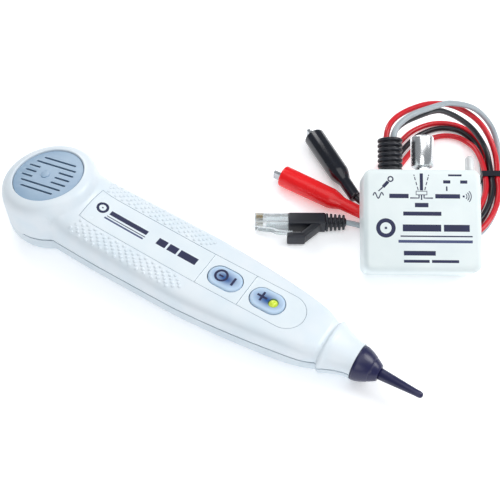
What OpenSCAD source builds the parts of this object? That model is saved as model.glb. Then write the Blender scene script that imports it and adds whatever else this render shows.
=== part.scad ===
// Tone probe kit: a probe with a loudspeaker in its round head and a pointed tip,
// and a tone generator with a toggle switch, two clip leads and a plug lead.
// Origin: centre of the flat underside of the probe's round head.
// +X runs along the probe to its tip, +Z is up, and the floor is z = 0.

/* [Probe shells] */
// Height of the seam between the two probe shells
seam_z = 12; // [10:0.5:14]
// Wall of every moulded case
wall = 2; // [1.6:0.1:2.4]
// Radius of the round head at the seam
head_r = 26.5; // [26:0.5:28]
// Radius of the head's flat underside
head_flat_r = 20; // [16:0.5:22]
// Height of the middle of the grille face
grille_z = 34.6; // [33:0.1:36]
// Slope of the grille face, up toward the tip
head_tilt = 8.6; // [0:0.1:9]
// Radius of the sunk grille plate
grille_r = 19.2; // [18:0.1:19.5]
// Depth of the grille plate below the rim
grille_sink = 1.4; // [1:0.1:1.8]

/* [Probe keys] */
// Length of an oval key
key_l = 18.9; // [17:0.1:19.5]
// Width of an oval key
key_w = 12.2; // [10:0.1:13]
// How far a key is pressed
key_travel = 1; // [0.4:0.1:1]
// Place of the power key along the probe
power_x = 112.4; // [112:0.1:113]
// Place of the volume key along the probe
volume_x = 137.2; // [137:0.1:138]

/* [Probe nose] */
// Height of the nose's axis
nose_z = 11; // [10.5:0.1:11.5]
// Where the dark tip holder starts
holder_x = 188.9; // [188:0.1:190]
// Length of the tip holder outside the shells
holder_l = 12.1; // [11:0.1:13]
// Where the tip ends
tip_x = 224.1; // [220:0.1:226]

/* [Tone generator] */
// Width of the generator case
gen_w = 61; // [60:0.5:64]
// Height of the generator case
gen_h = 54; // [53:0.5:56]
// Thickness of the generator case
gen_t = 23; // [23:0.5:26]
// How far the case leans back on its coiled leads
gen_lean = 30; // [28:1:31]
// Length of the ribbed lead boot outside the case
boot_l = 18; // [17.5:0.1:18.4]
// How far the toggle cap stands out of the case
cap_top = 19.7; // [19:0.1:20.5]

/* [Leads] */
// Diameter of each lead
lead_d = 3.2; // [2.8:0.1:3.4]
// Length of a clip boot
clip_l = 52; // [50:1:54]

/* [Hidden] */
$fn = 64;
gap = 0.05;      // running fit and assembly gap
far = 300;       // longer than anything it cuts

// The probe's outline seen from above: [x, half width].
OUTLINE = [[0, 20.5], [18, 21.5], [50, 22.5], [92, 22.7], [110, 21.8], [130, 20], [150, 17.5],
    [164, 15.2], [171, 12.4], [173, 12.4], [176, 14], [holder_x, 9.25]];
// The probe's back seen from the side: [x, z].
TOP_LINE = [[-head_r, 28.6], [20, 28.4], [60, 26.2], [100, 24], [160, 22.9], [173, 21.4],
    [176, 23.2], [holder_x, 20.2]];
// The probe's underside seen from the side: [x, z].
BELLY_LINE = [[-head_r, 0], [150, 0], [170, 0.6], [176, 0.4], [holder_x, 2]];

panel_w = 20;            // width of the three inlaid panels
panel_t = 0.8;           // their thickness
PANEL_ENDS = [24, 99.9, 100.3, 125, 125.4, 158];
key_z = 24.4;            // top of both keys
board_z = 15.4;          // top of the probe's circuit board
SHELL_SCREWS = [[31, 14], [31, -14], [99, 14], [99, -14], [164.5, 0]];
board_x = 103.6;         // where the probe's circuit board starts
BATTERY = [48.5, 26.5, 17.5];
probe_battery_x = 40;
door_x0 = 37;
door_x1 = 93;
door_w = 30;

edge_r = 3;              // rounding of the generator's long edges
corner_r = 4.5;          // rounding of its four corners
gen_split = 6;           // height of its seam above the back
boot_a = -15.2;          // lead boot, across the case
cap_a = 2;               // toggle, across the case
light_a = 27;            // indicator light, across the case
port_c = 12.2;           // height of boot and toggle above the back
light_c = 12.2;          // height of the light above the back
gen_drop = edge_r * (sin(gen_lean) + cos(gen_lean) - 1);
pivot_b = gen_h + 1;     // the toggle's pivot
GEN_SCREWS = [[-25.5, 5.5], [25.5, 5.5], [-25.5, 43], [25.5, 43]];
clip_z = 6.3;            // height of a clip boot's axis above the floor
plug_y = 37;
plug_z = 4.4;

// Routes of the three leads on the floor, in the generator's own frame.
RED_ROUTE = [[-16.2, 60.8, 45.4], [-15.4, 65.5, 46.9], [-13.5, 70.5, 47.3],
    [-9.5, 76.5, 46.5], [-4, 82.3, 45], [2, 87.5, 43], [9.5, 93.3, 40], [17.3, 98.2, 36],
    [25.5, 102.2, 31], [33, 104.1, 26], [40, 104.3, 21], [46, 103, 16], [50.3, 99.4, 11.8],
    [53, 94.2, 8.7], [54.5, 87.5, 6.5], [54.6, 79.5, 5.3], [53.5, 71, 5.2], [52.5, 59, 5.2],
    [48.5, 46.5, 5.2], [41, 34.5, 5.2], [30, 25, 5.2], [19, 20.5, 5.2], [8, 19.5, 5.2],
    [-2.5, 22, 5.2], [-9.5, 28.5, 5.2], [-13, 38, 5.2], [-14.2, 48, 4.8], [-13, 58, 2.8],
    [-9, 68, 1.7], [-4, 77, 1.7], [1.5, 85.5, 1.7], [8, 94.5, 1.7], [16.5, 102, 1.7],
    [26.5, 106, 1.7], [35.2, 105, 1.8], [41.2, 99.5, 2.6], [44.6, 91.5, 4.4],
    [46.3, 81, 5.2], [46.5, 71, 5.2], [45.5, 61, 5.2], [41.7, 50.6, 5.2], [35.2, 40.6, 5.2],
    [26, 32.6, 5.2], [17.2, 27.9, 5.2], [8, 26.5, 5.2], [0.5, 29.5, 5.6], [-4, 36, 7],
    [-6.3, 44.5, 8.8], [-8.6, 53.5, 9], [-11.5, 62, 8.8], [-13.5, 71, 6.2],
    [-11.8, 81, 2.8], [-6.5, 91, 1.7], [1, 101, 1.7], [10, 110.5, 1.7], [22.5, 116.3, 1.7],
    [35, 115.5, 1.7], [44.5, 108.5, 1.7], [49.5, 98, 1.7], [50.8, 86, 1.7], [50, 71, 1.7],
    [49, 60, 1.7], [45, 48.5, 1.7], [38, 37.5, 1.7], [28, 28.8, 1.7], [18, 24.2, 1.7],
    [8, 23, 1.7], [-1, 25.2, 1.7], [-10, 31, 1.7], [-18, 36.4, 3.7], [-26, 41.8, clip_z]];
BLACK_ROUTE = [[-12.4, 61.3, 43.7], [-11.4, 66, 45.2], [-8.5, 70.5, 45.6],
    [-3.5, 75, 45.3], [2.5, 79.5, 44], [8, 83.8, 42.3], [13, 88.3, 39.5], [19, 92.6, 35.7],
    [27.7, 95.6, 29], [35.9, 96.6, 22], [41, 95.5, 17.5], [45, 93, 13.3], [48, 90, 9.6],
    [49.8, 86, 7], [50.3, 79.5, 5.4], [50, 71, 5.2], [49, 60, 5.2], [45, 48.5, 5.2],
    [38, 37.5, 5.2], [28, 28.8, 5.2], [18, 24.2, 5.2], [8, 23, 5.2], [-1, 25.6, 5.2],
    [-6.5, 31.5, 5.2], [-9.8, 40, 5.2], [-10.9, 50, 5.2], [-10.4, 60, 5.2],
    [-8.6, 70, 5.2], [-6, 79.5, 3.8], [-1.6, 89, 1.8], [5, 98.5, 1.7], [13.5, 107, 1.7],
    [25, 112.2, 1.7], [36, 111, 1.7], [43.2, 104.2, 1.7], [47, 94.5, 1.7], [47.3, 83, 1.7],
    [46.5, 71, 1.7], [45.5, 61, 1.7], [41.7, 50.6, 1.7], [35.2, 40.6, 1.7],
    [26, 32.6, 1.7], [17.2, 27.9, 1.7], [8, 26.5, 1.7], [-1, 29.6, 1.7], [-9, 37, 1.7],
    [-16.5, 43.2, 2.6], [-23.5, 48, 4.8], [-29.4, 53.3, clip_z]];
GREY_ROUTE = [[-12.6, 59.9, 47.1], [-11.6, 64, 48.4], [-9, 68.5, 49], [-4, 74, 48.8],
    [2, 79, 47.7], [10.8, 85.8, 44.7], [17, 90.8, 42], [23.2, 95.3, 39], [33.7, 101.2, 32],
    [42.3, 104.6, 25], [49.8, 105.2, 17], [54.8, 103.2, 10.4], [57.6, 98, 5.2],
    [58.4, 91.4, 2.4], [57.2, 83, 1.7], [53.5, 71, 1.7], [52.5, 59, 1.7], [48.5, 46.5, 1.7],
    [41, 34.5, 1.7], [30, 25, 1.7], [19, 20.5, 1.7], [8, 19.5, 1.7], [-3, 21.6, 1.7],
    [-13, 26.8, 1.7], [-21, 31.8, 2.4], [-28.5, 35.6, 3.6], [-35.7, plug_y, plug_z]];

// ---- shared shapes ----

// The solid between the floor and the ceiling of the probe, drawn in by d all round.
module probe_block(d) {
    intersection() {
        linear_extrude(60, center = true)
            polygon(concat([for (p = OUTLINE) [p[0], p[1] - d]],
                [for (i = [len(OUTLINE) - 1:-1:0]) [OUTLINE[i][0], d - OUTLINE[i][1]]]));
        rotate([90, 0, 0]) linear_extrude(80, center = true)
            polygon(concat([for (p = BELLY_LINE) [p[0], p[1] + d]],
                [for (i = [len(TOP_LINE) - 1:-1:0]) [TOP_LINE[i][0], TOP_LINE[i][1] - d]]));
        rotate([90, 0, 90]) linear_extrude(far)
            polygon([[-17 + d, d], [17 - d, d], [23 - d, 6], [23 - d, 22], [17 - d, 40],
                [d - 17, 40], [d - 23, 22], [d - 23, 6]]);
    }
}

// The round head, drawn in by d.
module head_block(d) {
    difference() {
        rotate_extrude() polygon([[0, d], [head_flat_r - d / 2, d], [24.5 - d, 3.5],
            [head_r - d, 8], [head_r - d, seam_z + 4], [head_r - 3 - d, 42], [0, 42]]);
        on_head(grille_sink - d) translate([0, 0, 20]) cube([far, far, 40], center = true);
    }
}

// Places its children on the grille face, lift above it.
module on_head(lift = 0) {
    translate([0, 0, grille_z]) rotate([0, -head_tilt, 0]) translate([0, 0, lift]) children();
}

// Keeps what is above (side = 1) or below (side = -1) the seam of the probe.
module half(side) {
    intersection() {
        children();
        translate([0, 0, seam_z + side * 50]) cube([2 * far, 200, 100], center = true);
    }
}

// An oval block with round ends, its long side along X.
module oval(l, w, h) {
    translate([-(l - w) / 2, 0, 0]) cylinder(d = w, h = h);
    translate([(l - w) / 2, 0, 0]) cylinder(d = w, h = h);
    translate([-(l - w) / 2, -w / 2, 0]) cube([l - w, w, h]);
}

// Along the nose: Z of the children becomes X from the given place.
module on_nose(x) { translate([x, 0, nose_z]) rotate([0, 90, 0]) children(); }

// A box centred across X and Y, standing on z.
module block(x, y, z, size) {
    translate([x - size[0] / 2, y - size[1] / 2, z]) cube(size);
}

// A screw with its head down, standing on its head.
module screw(shank_r, head_r, head_h, length) {
    difference() {
        union() {
            cylinder(r = head_r, h = head_h);
            cylinder(r = shank_r, h = length);
        }
        block(0, 0, -0.1, [head_r * 1.4, 0.6, 0.8]);
        block(0, 0, -0.1, [0.6, head_r * 1.4, 0.8]);
    }
}

// ---- the probe ----

module shell_cavity() {
    probe_block(wall);
    head_block(wall);
}

module top_shell() {
    color("#dce9f5") difference() {
        union() {
            half(1) difference() {
                union() { probe_block(0); head_block(0); }
                difference() {
                    shell_cavity();
                    on_nose(171) cylinder(r = 60, h = far);
                }
            }
            intersection() {
                probe_block(1);
                for (p = SHELL_SCREWS) translate([p[0], p[1], seam_z]) cylinder(r = 2.9, h = 20);
            }
        }
        // Opening for the grille plate, with a ledge under it.
        on_head(-20) cylinder(r = grille_r - 1.4, h = 40);
        on_head(-1.5) cylinder(r = grille_r + gap, h = 40);
        panel_bed();
        for (x = [power_x, volume_x]) translate([x, 0, 18]) oval(key_l + 0.6, key_w + 0.6, 10);
        on_nose(170) cylinder(r = 6.2 + gap, h = 30);
        for (p = SHELL_SCREWS) translate([p[0], p[1], 0]) cylinder(r = 1.35, h = seam_z + 7);
    }
}

// The layer just under the probe's back, from depth a to depth b.
module back_layer(a, b) {
    rotate([90, 0, 0]) linear_extrude(60, center = true)
        polygon(concat([for (p = TOP_LINE) [p[0], p[1] - a]],
            [for (i = [len(TOP_LINE) - 1:-1:0]) [TOP_LINE[i][0], TOP_LINE[i][1] - b]]));
}

module panel_outline(d) {
    translate([PANEL_ENDS[0] - d, -panel_w / 2 - d])
        square([PANEL_ENDS[5] - panel_w / 2 - PANEL_ENDS[0] + d, panel_w + 2 * d]);
    translate([PANEL_ENDS[5] - panel_w / 2, 0]) circle(r = panel_w / 2 + d);
}

module panel_bed() {
    intersection() {
        linear_extrude(60) panel_outline(0.2);
        back_layer(-5, panel_t);
    }
}

// One of the three inlaid panels, from x0 to x1.
module panel(x0, x1, shade) {
    color(shade) difference() {
        intersection() {
            linear_extrude(60) panel_outline(0);
            back_layer(0, panel_t);
            translate([x0, -20, 10]) cube([x1 - x0, 40, 30]);
        }
        for (x = [power_x, volume_x]) translate([x, 0, 18]) oval(key_l + 0.6, key_w + 0.6, 10);
    }
}

module name_panel() { panel(PANEL_ENDS[0], PANEL_ENDS[1], "#e4eef7"); }
module power_panel() { panel(PANEL_ENDS[2], PANEL_ENDS[3], "#e4eef7"); }
module volume_panel() { panel(PANEL_ENDS[4], PANEL_ENDS[5], "#e4eef7"); }

module bottom_shell() {
    color("#d3e1ee") difference() {
        union() {
            half(-1) difference() {
                union() { probe_block(0); head_block(0); }
                difference() {
                    shell_cavity();
                    on_nose(171) cylinder(r = 60, h = far);
                }
            }
            for (p = SHELL_SCREWS) translate([p[0], p[1], 1]) cylinder(r = 3.6, h = seam_z - 1);
            translate([door_x1 + 2.5, 0, 1]) cylinder(r = 3.2, h = 9);
        }
        translate([door_x0, -door_w / 2, -1]) cube([door_x1 - door_x0, door_w, 4]);
        translate([door_x1 - 1, -4, -1]) cube([7, 8, 2.25]);
        translate([door_x1 + 2.5, 0, 0]) cylinder(r = 1.35, h = 9);
        for (p = SHELL_SCREWS) translate([p[0], p[1], -1]) {
            cylinder(r = 2.8, h = 4.5);
            cylinder(r = 1.55, h = 30);
        }
        on_nose(170) cylinder(r = 6.2 + gap, h = 30);
    }
}

module battery_door() {
    color("#d3e1ee") difference() {
        union() {
            translate([door_x0 + 0.2, 0.2 - door_w / 2, 0])
                cube([door_x1 - door_x0 - 0.4, door_w - 0.4, wall]);
            translate([door_x1 - 1, -3.8, 0]) cube([6.8, 7.6, 1.2]);
            translate([door_x0 + 0.3, -8, wall - 0.9]) cube([2, 16, 1.9]);
        }
        for (i = [0:4]) translate([door_x0 + 6 + 2 * i, -6, -0.1]) cube([0.8, 12, 0.5]);
        translate([door_x1 + 2.5, 0, -1]) cylinder(r = 1.5, h = 4);
    }
}

module battery_door_screw() {
    color("#b9bdc2") translate([door_x1 + 2.5, 0, 0]) difference() {
        union() {
            cylinder(r = 1.35 - gap, h = 8);
            cylinder(r = 1.45, h = 1);
        }
        block(0, 0, -0.1, [2.2, 0.5, 0.7]);
    }
}

module shell_screws() {
    color("#b9bdc2") for (p = SHELL_SCREWS) translate([p[0], p[1], 1.5])
        screw(1.35 - gap, 2.6, 1.9, 17);
}

module speaker_grille() {
    slot_w = 0.9;
    color("#c6daea") on_head(-1.45) rotate([0, 0, 4.4]) difference() {
        cylinder(r = grille_r - gap, h = 1.45);
        for (i = [-3:3]) {
            half_l = abs(i) == 3 ? 10.7 : 13.2;
            if (abs(i) > 1) translate([-half_l, i * 3.7 - slot_w / 2, -1])
                cube([2 * half_l, slot_w, 4]);
            else for (x = [[-15.4, -8], [4.2, 14]])
                translate([x[0], i * 3.7 - slot_w / 2, -1]) cube([x[1] - x[0], slot_w, 4]);
        }
    }
    color("#c6daea") on_head(-gap) translate([-2, 0, 0]) cylinder(r = 2.6, h = 0.45);
}

module speaker_gasket() {
    color("#2a2c30") on_head(-4.4) difference() {
        cylinder(r = 18.4, h = 0.8);
        translate([0, 0, -1]) cylinder(r = 16.6, h = 3);
    }
}

module speaker_frame() {
    color("#8d9398") on_head(0) rotate_extrude() polygon([[9.6, -10.4], [17.4, -5.4],
        [18.4, -5.4], [18.4, -4.4], [16.8, -4.4], [9.2, -9.2], [6, -9.2], [6, -10.4]]);
}

module speaker_cone() {
    color("#1b1c1f") on_head(0) rotate_extrude() polygon([[0, -7.4], [3.4, -7.8], [5.2, -8.4],
        [16.3, -4.4], [16.3, -4], [5, -7.9], [3.3, -7.2], [0, -6.6]]);
}

module speaker_magnet() {
    color("#4d5257") on_head(-15.4) cylinder(r = 9.4, h = 5);
}

module power_button() { color("#a9c8e6") key(power_x); }

module volume_button() {
    color("#a9c8e6") difference() {
        key(volume_x);
        translate([volume_x + 3.4, 0, 10]) cylinder(r = 2.5 + 0.2, h = 20);
    }
}

module key(x) {
    translate([x, 0, key_z - 4.8]) oval(key_l, key_w, 4.8);
    translate([x, 0, key_z - 5.8]) oval(key_l + 2.6, key_w + 2.6, 1.2);
    translate([x - 3, 0, board_z + 1.7 + key_travel]) cylinder(r = 1.5, h = 3);
}

module volume_light() {
    color("#b8d93a") translate([volume_x + 3.4, 0, 0]) {
        translate([0, 0, board_z]) cylinder(r = 2.5, h = key_z - board_z - 0.6);
        translate([0, 0, key_z - 1.8]) intersection() {
            sphere(r = 2.5);
            cylinder(r = 3, h = 3);
        }
    }
}

module keypad_membrane() {
    color("#9fb3c4") difference() {
        translate([board_x, -11.5, board_z + 1.1]) cube([48, 23, 0.6]);
        for (x = [power_x, volume_x]) translate([x - 3, 0, 10]) cylinder(r = 3.2, h = 20);
        translate([volume_x + 3.4, 0, 10]) cylinder(r = 3, h = 20);
    }
}

module probe_circuit_board() {
    color("#2f6b46") {
        translate([board_x, -12, board_z - 1.6]) cube([53, 24, 1.6]);
        translate([board_x + 2, -7, board_z - 6.6]) cube([9, 7, 5]);
        translate([118, -5, board_z - 4.1]) cube([8, 10, 2.5]);
        translate([148, 3, board_z - 6.1]) cylinder(d = 5, h = 4.5);
    }
}

module tactile_switches() {
    color("#3c3f44") for (x = [power_x, volume_x]) translate([x - 3, 0, board_z]) {
        block(0, 0, 0, [5.6, 5.6, 1.05]);
        cylinder(r = 1.4, h = 1.6);
    }
}

module probe_battery() {
    color("#33373d") translate([probe_battery_x, -BATTERY[1] / 2, wall + 0.6]) cube(BATTERY);
    color("#c9ccd0") for (s = [-1, 1])
        translate([probe_battery_x + BATTERY[0] - gap, s * 6.3, wall + 0.6 + BATTERY[2] / 2])
            rotate([0, 90, 0]) cylinder(r = 2.4, h = 2.2);
}

module probe_battery_snap() {
    x = probe_battery_x + BATTERY[0];
    color("#1c1d20") difference() {
        translate([x + 0.2, -12.5, wall + 3.4]) cube([3.4, 25, 12]);
        for (s = [-1, 1]) translate([x, s * 6.3, wall + 0.6 + BATTERY[2] / 2])
            rotate([0, 90, 0]) cylinder(r = 2.6, h = 2.6);
    }
}

module tip_holder() {
    color("#2a2a55") difference() {
        union() {
            on_nose(holder_x) rotate_extrude() polygon([[0, 0.1], [9.2, 0.1], [9.2, 1.6],
                [8.1, 2.2], [8.1, 3.2], [8.6, 3.7], [6.2, 9], [4.1, holder_l], [0, holder_l]]);
            on_nose(holder_x - 13) cylinder(r = 6.2, h = 13.4);
        }
        on_nose(holder_x - 1) cylinder(r = 1.5 + gap, h = 20);
        on_nose(holder_x - 5) cylinder(r = 1.2 + gap, h = 5);
        on_nose(holder_x - 14) cylinder(r = 3, h = 11);
    }
}

module probe_tip() {
    color("#2a2a55") on_nose(0) {
        translate([0, 0, holder_x]) cylinder(r = 1.5, h = holder_l + 1);
        translate([0, 0, holder_x + holder_l + gap])
            cylinder(r1 = 3, r2 = 1.65, h = tip_x - holder_x - holder_l - 1.6);
        translate([0, 0, tip_x - 1.65]) sphere(r = 1.65);
    }
}

module tip_contact() {
    color("#c9a24a") {
        on_nose(holder_x - 3.9) cylinder(r = 2.4, h = 0.8);
        on_nose(holder_x - 3.15) cylinder(r = 1.2, h = 3.1);
    }
}

module tip_spring() {
    turns = 6;
    color("#c7cbd0") for (i = [0:turns - 1]) on_nose(holder_x - 13 + 1.5 * i)
        rotate_extrude($fn = 32) translate([2, 0.35]) circle(r = 0.35, $fn = 16);
    color("#c7cbd0") on_nose(holder_x - 13) translate([2, 0, 0.35])
        cylinder(r = 0.25, h = 7.5, $fn = 16);
}

// ---- the tone generator ----

// The generator's bench frame: Y runs away from its front edge.
module on_bench() { translate([190.3, 66.3, 0]) rotate([0, 0, 32]) children(); }

// The case's own frame: X across, Y up the slope, Z out of the face.
module on_case() {
    on_bench() translate([0.5, 4.5, -gen_drop]) rotate([0, 0, -0.5]) rotate([gen_lean, 0, 0])
        children();
}

// Places its children on the case's upper side, Z up the slope.
module on_port(a, c, lift = 0) {
    on_case() translate([a, gen_h + lift, c]) rotate([-90, 0, 0]) children();
}

module rounded(w, h, r) {
    translate([r, 0]) square([w - 2 * r, h]);
    translate([0, r]) square([w, h - 2 * r]);
    for (x = [r, w - r], y = [r, h - r]) translate([x, y]) circle(r = r);
}

// The case's outer solid, with round corners and edges.
module case_block() {
    intersection() {
        translate([-gen_w / 2, 0, 0]) linear_extrude(gen_t) rounded(gen_w, gen_h, corner_r);
        translate([-far / 2, 0, 0]) rotate([90, 0, 90]) linear_extrude(far)
            rounded(gen_h, gen_t, edge_r);
    }
}

// The room inside the case.
module case_room() {
    translate([wall - gen_w / 2, wall, wall])
        cube([gen_w - 2 * wall, gen_h - 2 * wall, gen_t - 2 * wall]);
}

module generator_front_case() {
    color("#e3eef0") on_case() difference() {
        union() {
            difference() {
                case_block();
                case_room();
            }
            for (p = GEN_SCREWS) translate([p[0], p[1], gen_split])
                cylinder(r = 3.4, h = gen_t - gen_split - 1);
        }
        translate([0, 0, gen_split - 50]) cube([far, far, 100], center = true);
        for (p = GEN_SCREWS) translate([p[0], p[1], 0]) cylinder(r = 1.35, h = gen_split + 13.5);
        for (port = [[boot_a, port_c, 5.1], [cap_a, port_c, 3.2], [light_a, light_c, 2.5]])
            translate([port[0], gen_h - 8, port[1]]) rotate([-90, 0, 0])
                cylinder(r = port[2] + gap, h = 20);
    }
}

module generator_back_case() {
    color("#e3eef0") on_case() difference() {
        union() {
            difference() {
                case_block();
                case_room();
            }
            for (p = GEN_SCREWS) translate([p[0], p[1], 1]) cylinder(r = 3.4, h = gen_split - 1);
        }
        translate([0, 0, gen_split + 50 - gap]) cube([far, far, 100], center = true);
        for (p = GEN_SCREWS) translate([p[0], p[1], -1]) {
            cylinder(r = 2.7, h = 4.4);
            cylinder(r = 1.5, h = 30);
        }
    }
}

module generator_screws() {
    color("#b9bdc2") for (p = GEN_SCREWS) on_case() translate([p[0], p[1], 1.4])
        screw(1.35 - gap, 2.5, 2, 17);
}

module lead_boot() {
    ribs = 6;
    color("#111522") {
        on_port(boot_a, port_c, -4) cylinder(r = 6.6, h = 1.9);
        on_port(boot_a, port_c, -2.2) cylinder(r = 5.1, h = 3);
        on_port(boot_a, port_c, gap) cylinder(r = 5.2, h = boot_l - gap);
        for (i = [0:ribs]) on_port(boot_a, port_c, gap + i * (boot_l - 1.8) / ribs)
            cylinder(r = 6.6, h = 1.7);
    }
}

module toggle_housing() {
    color("#2b3038") difference() {
        on_port(cap_a, port_c, -16) block(0, 0, 0, [13, 8, 8.9]);
        on_port(cap_a, port_c, -15) block(0, 0, 0, [9, 4, 12]);
    }
    color("#c9a24a") for (i = [-1:1]) on_port(cap_a + 4 * i, port_c, -17.8)
        block(0, 0, 0, [1.6, 1, 1.9]);
}

module toggle_bushing() {
    color("#d6dade") difference() {
        on_port(cap_a, port_c, -7) union() {
            cylinder(r = 3.2, h = 10.5);
            cylinder(r = 4.6, h = 4.9);
        }
        on_port(cap_a, port_c, -10) cylinder(r = 1.9 + gap, h = 20);
    }
    // The pin that the lever swings on.
    color("#d6dade") on_port(cap_a, port_c, 1) rotate([90, 0, 0])
        cylinder(r = 0.5, h = 5, center = true);
}

module toggle_nut() {
    color("#d6dade") difference() {
        on_port(cap_a, port_c, gap) cylinder(r = 4.5, h = 1.6, $fn = 6);
        on_port(cap_a, port_c, -1) cylinder(r = 3.2 + gap, h = 5);
    }
}

module toggle_lever() {
    color("#d6dade") on_port(cap_a, port_c, 1) difference() {
        union() {
            sphere(r = 1.9);
            cylinder(r = 1, h = cap_top - 4);
            translate([0, 0, -12]) cylinder(r = 0.45, h = 12);
        }
        rotate([90, 0, 0]) cylinder(r = 0.5 + gap, h = 10, center = true);
    }
}

module toggle_cap() {
    color("#d9dce0") on_port(cap_a, port_c, 3) difference() {
        cylinder(r = 6.2, h = cap_top - 3);
        translate([0, 0, -1]) cylinder(r = 5.3, h = cap_top - 8);
        translate([0, 0, -1]) cylinder(r = 1 + gap, h = cap_top - 4 + 0.1);
    }
}

module generator_light() {
    color("#f2f6f8") {
        on_port(light_a, light_c, -5.6) cylinder(r = 2.5, h = 12.4);
        on_port(light_a, light_c, 6.8) sphere(r = 2.5);
    }
}

module generator_circuit_board() {
    color("#2f6b46") on_case() {
        translate([-21, 37.2, 17]) cube([42, 11.6, 1.6]);
        translate([-16, 39, 18.5]) cube([10, 7, 1.7]);
        translate([14, 43, 18.5]) cylinder(d = 6, h = 2.2);
        translate([0, 40.5, 18.5]) cube([8, 4, 2]);
    }
}

module generator_battery() {
    color("#33373d") on_case() translate([-BATTERY[0] / 2 + 1, 9.4, wall + 0.6]) cube(BATTERY);
    color("#c9ccd0") on_case() for (s = [-1, 1])
        translate([1.1 - BATTERY[0] / 2, 9.4 + BATTERY[1] / 2 + s * 6.3, wall + 9.3])
            rotate([0, -90, 0]) cylinder(r = 2.4, h = 2.2);
}

module generator_battery_snap() {
    color("#1c1d20") on_case() difference() {
        translate([-BATTERY[0] / 2 - 2.9, 10.2, wall + 3.4]) cube([3.7, 25, 12]);
        for (s = [-1, 1]) translate([1 - BATTERY[0] / 2, 9.4 + BATTERY[1] / 2 + s * 6.3,
            wall + 9.3]) rotate([0, -90, 0]) cylinder(r = 2.6, h = 2.6);
    }
}

// ---- leads ----

function unit(v) = v / norm(v);
function along(path, i) = unit(path[min(i + 1, len(path) - 1)] - path[max(i - 1, 0)]);
function side_of(t) = unit(cross(t, abs(t[2]) > 0.9 ? [1, 0, 0] : [0, 0, 1]));

// A round tube swept along a route, one ring at each of its points.
module swept(path, d, sides = 8) {
    n = len(path);
    rings = [for (i = [0:n - 1]) let (t = along(path, i), s = side_of(t), u = cross(s, t))
        for (k = [0:sides - 1]) path[i] + d / 2 * (cos(360 * (k + 0.5) / sides) * s
            + sin(360 * (k + 0.5) / sides) * u)];
    skin = [for (i = [0:n - 2], k = [0:sides - 1]) let (j = (k + 1) % sides)
        [i * sides + k, i * sides + j, (i + 1) * sides + j, (i + 1) * sides + k]];
    ends = [[for (k = [sides - 1:-1:0]) k], [for (k = [0:sides - 1]) (n - 1) * sides + k]];
    polyhedron(rings, concat(skin, ends), convexity = 10);
}

module red_lead() { color("#e02228") on_bench() swept(RED_ROUTE, lead_d); }
module black_lead() { color("#1a1c22") on_bench() swept(BLACK_ROUTE, lead_d); }
module grey_lead() { color("#a9b6ba") on_bench() swept(GREY_ROUTE, lead_d); }

module lead_tie() {
    color("#15161a") on_bench() translate([44.4, 69, 0]) difference() {
        cube([11.2, 4, 7.4]);
        translate([0.45, -1, -1]) cube([10.3, 6, 7.95]);
    }
}

// Places its children along a clip, X from the tail to the mouth.
module on_clip(x, y, turn) {
    on_bench() translate([x, y, clip_z]) rotate([0, 0, turn]) children();
}
module on_red_clip() { on_clip(-26, 41.8, 147.5) children(); }
module on_black_clip() { on_clip(-29.4, 53.3, 114.3) children(); }

module clip_boot() {
    rotate([0, 90, 0]) difference() {
        rotate_extrude() polygon([[0, 0], [3.4, 0], [3.6, 13], [5.7, 19.5], [6.2, clip_l],
            [0, clip_l]]);
        translate([0, 0, 22]) cylinder(r = 4.9, h = clip_l);
    }
}

pin_s = 35;      // the jaw pin, along the clip
module fixed_jaw() {
    difference() {
        union() {
            translate([22.2, 1.05, -2.4]) cube([clip_l - 17.2, 1.5, 4.8]);
            translate([clip_l + 4.4, 0.65, -2.4]) cube([0.6, 1, 4.8]);
            for (z = [-2.4, 1.7]) translate([pin_s - 2, -1.4, z]) cube([4, 3.2, 0.7]);
        }
        translate([pin_s, 0, -5]) cylinder(r = 0.6, h = 10);
    }
}

module moving_jaw() {
    difference() {
        linear_extrude(2.3) polygon([[pin_s - 9, -3.9], [pin_s - 9, -2.8],
            [pin_s - 2, -0.9], [pin_s, 0.6], [clip_l + 5, 0.6], [clip_l + 5, -0.7],
            [pin_s + 1, -1.2], [pin_s - 2, -1.9]]);
        translate([pin_s, -0.3, -5]) cylinder(r = 0.65, h = 10);
    }
}

module clip_pin() { translate([pin_s, -0.3, -2.7]) cylinder(r = 0.6, h = 5.4); }

module clip_spring() {
    translate([pin_s, -0.3, 0.75]) difference() {
        cylinder(r = 1.05, h = 0.9);
        translate([0, 0, -1]) cylinder(r = 0.65, h = 3);
    }
}

module red_clip_boot() { color("#e02228") on_red_clip() clip_boot(); }
module red_fixed_jaw() { color("#c3c7cb") on_red_clip() fixed_jaw(); }
module red_moving_jaw() {
    color("#c3c7cb") on_red_clip() translate([0, 0, -1.6]) moving_jaw();
}
module red_clip_pin() { color("#9a9ea3") on_red_clip() clip_pin(); }
module red_clip_spring() { color("#9a9ea3") on_red_clip() clip_spring(); }
module black_clip_boot() { color("#111522") on_black_clip() clip_boot(); }
module black_fixed_jaw() { color("#c3c7cb") on_black_clip() fixed_jaw(); }
module black_moving_jaw() {
    color("#c3c7cb") on_black_clip() translate([0, 0, -1.6]) moving_jaw();
}
module black_clip_pin() { color("#9a9ea3") on_black_clip() clip_pin(); }
module black_clip_spring() { color("#9a9ea3") on_black_clip() clip_spring(); }

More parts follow.
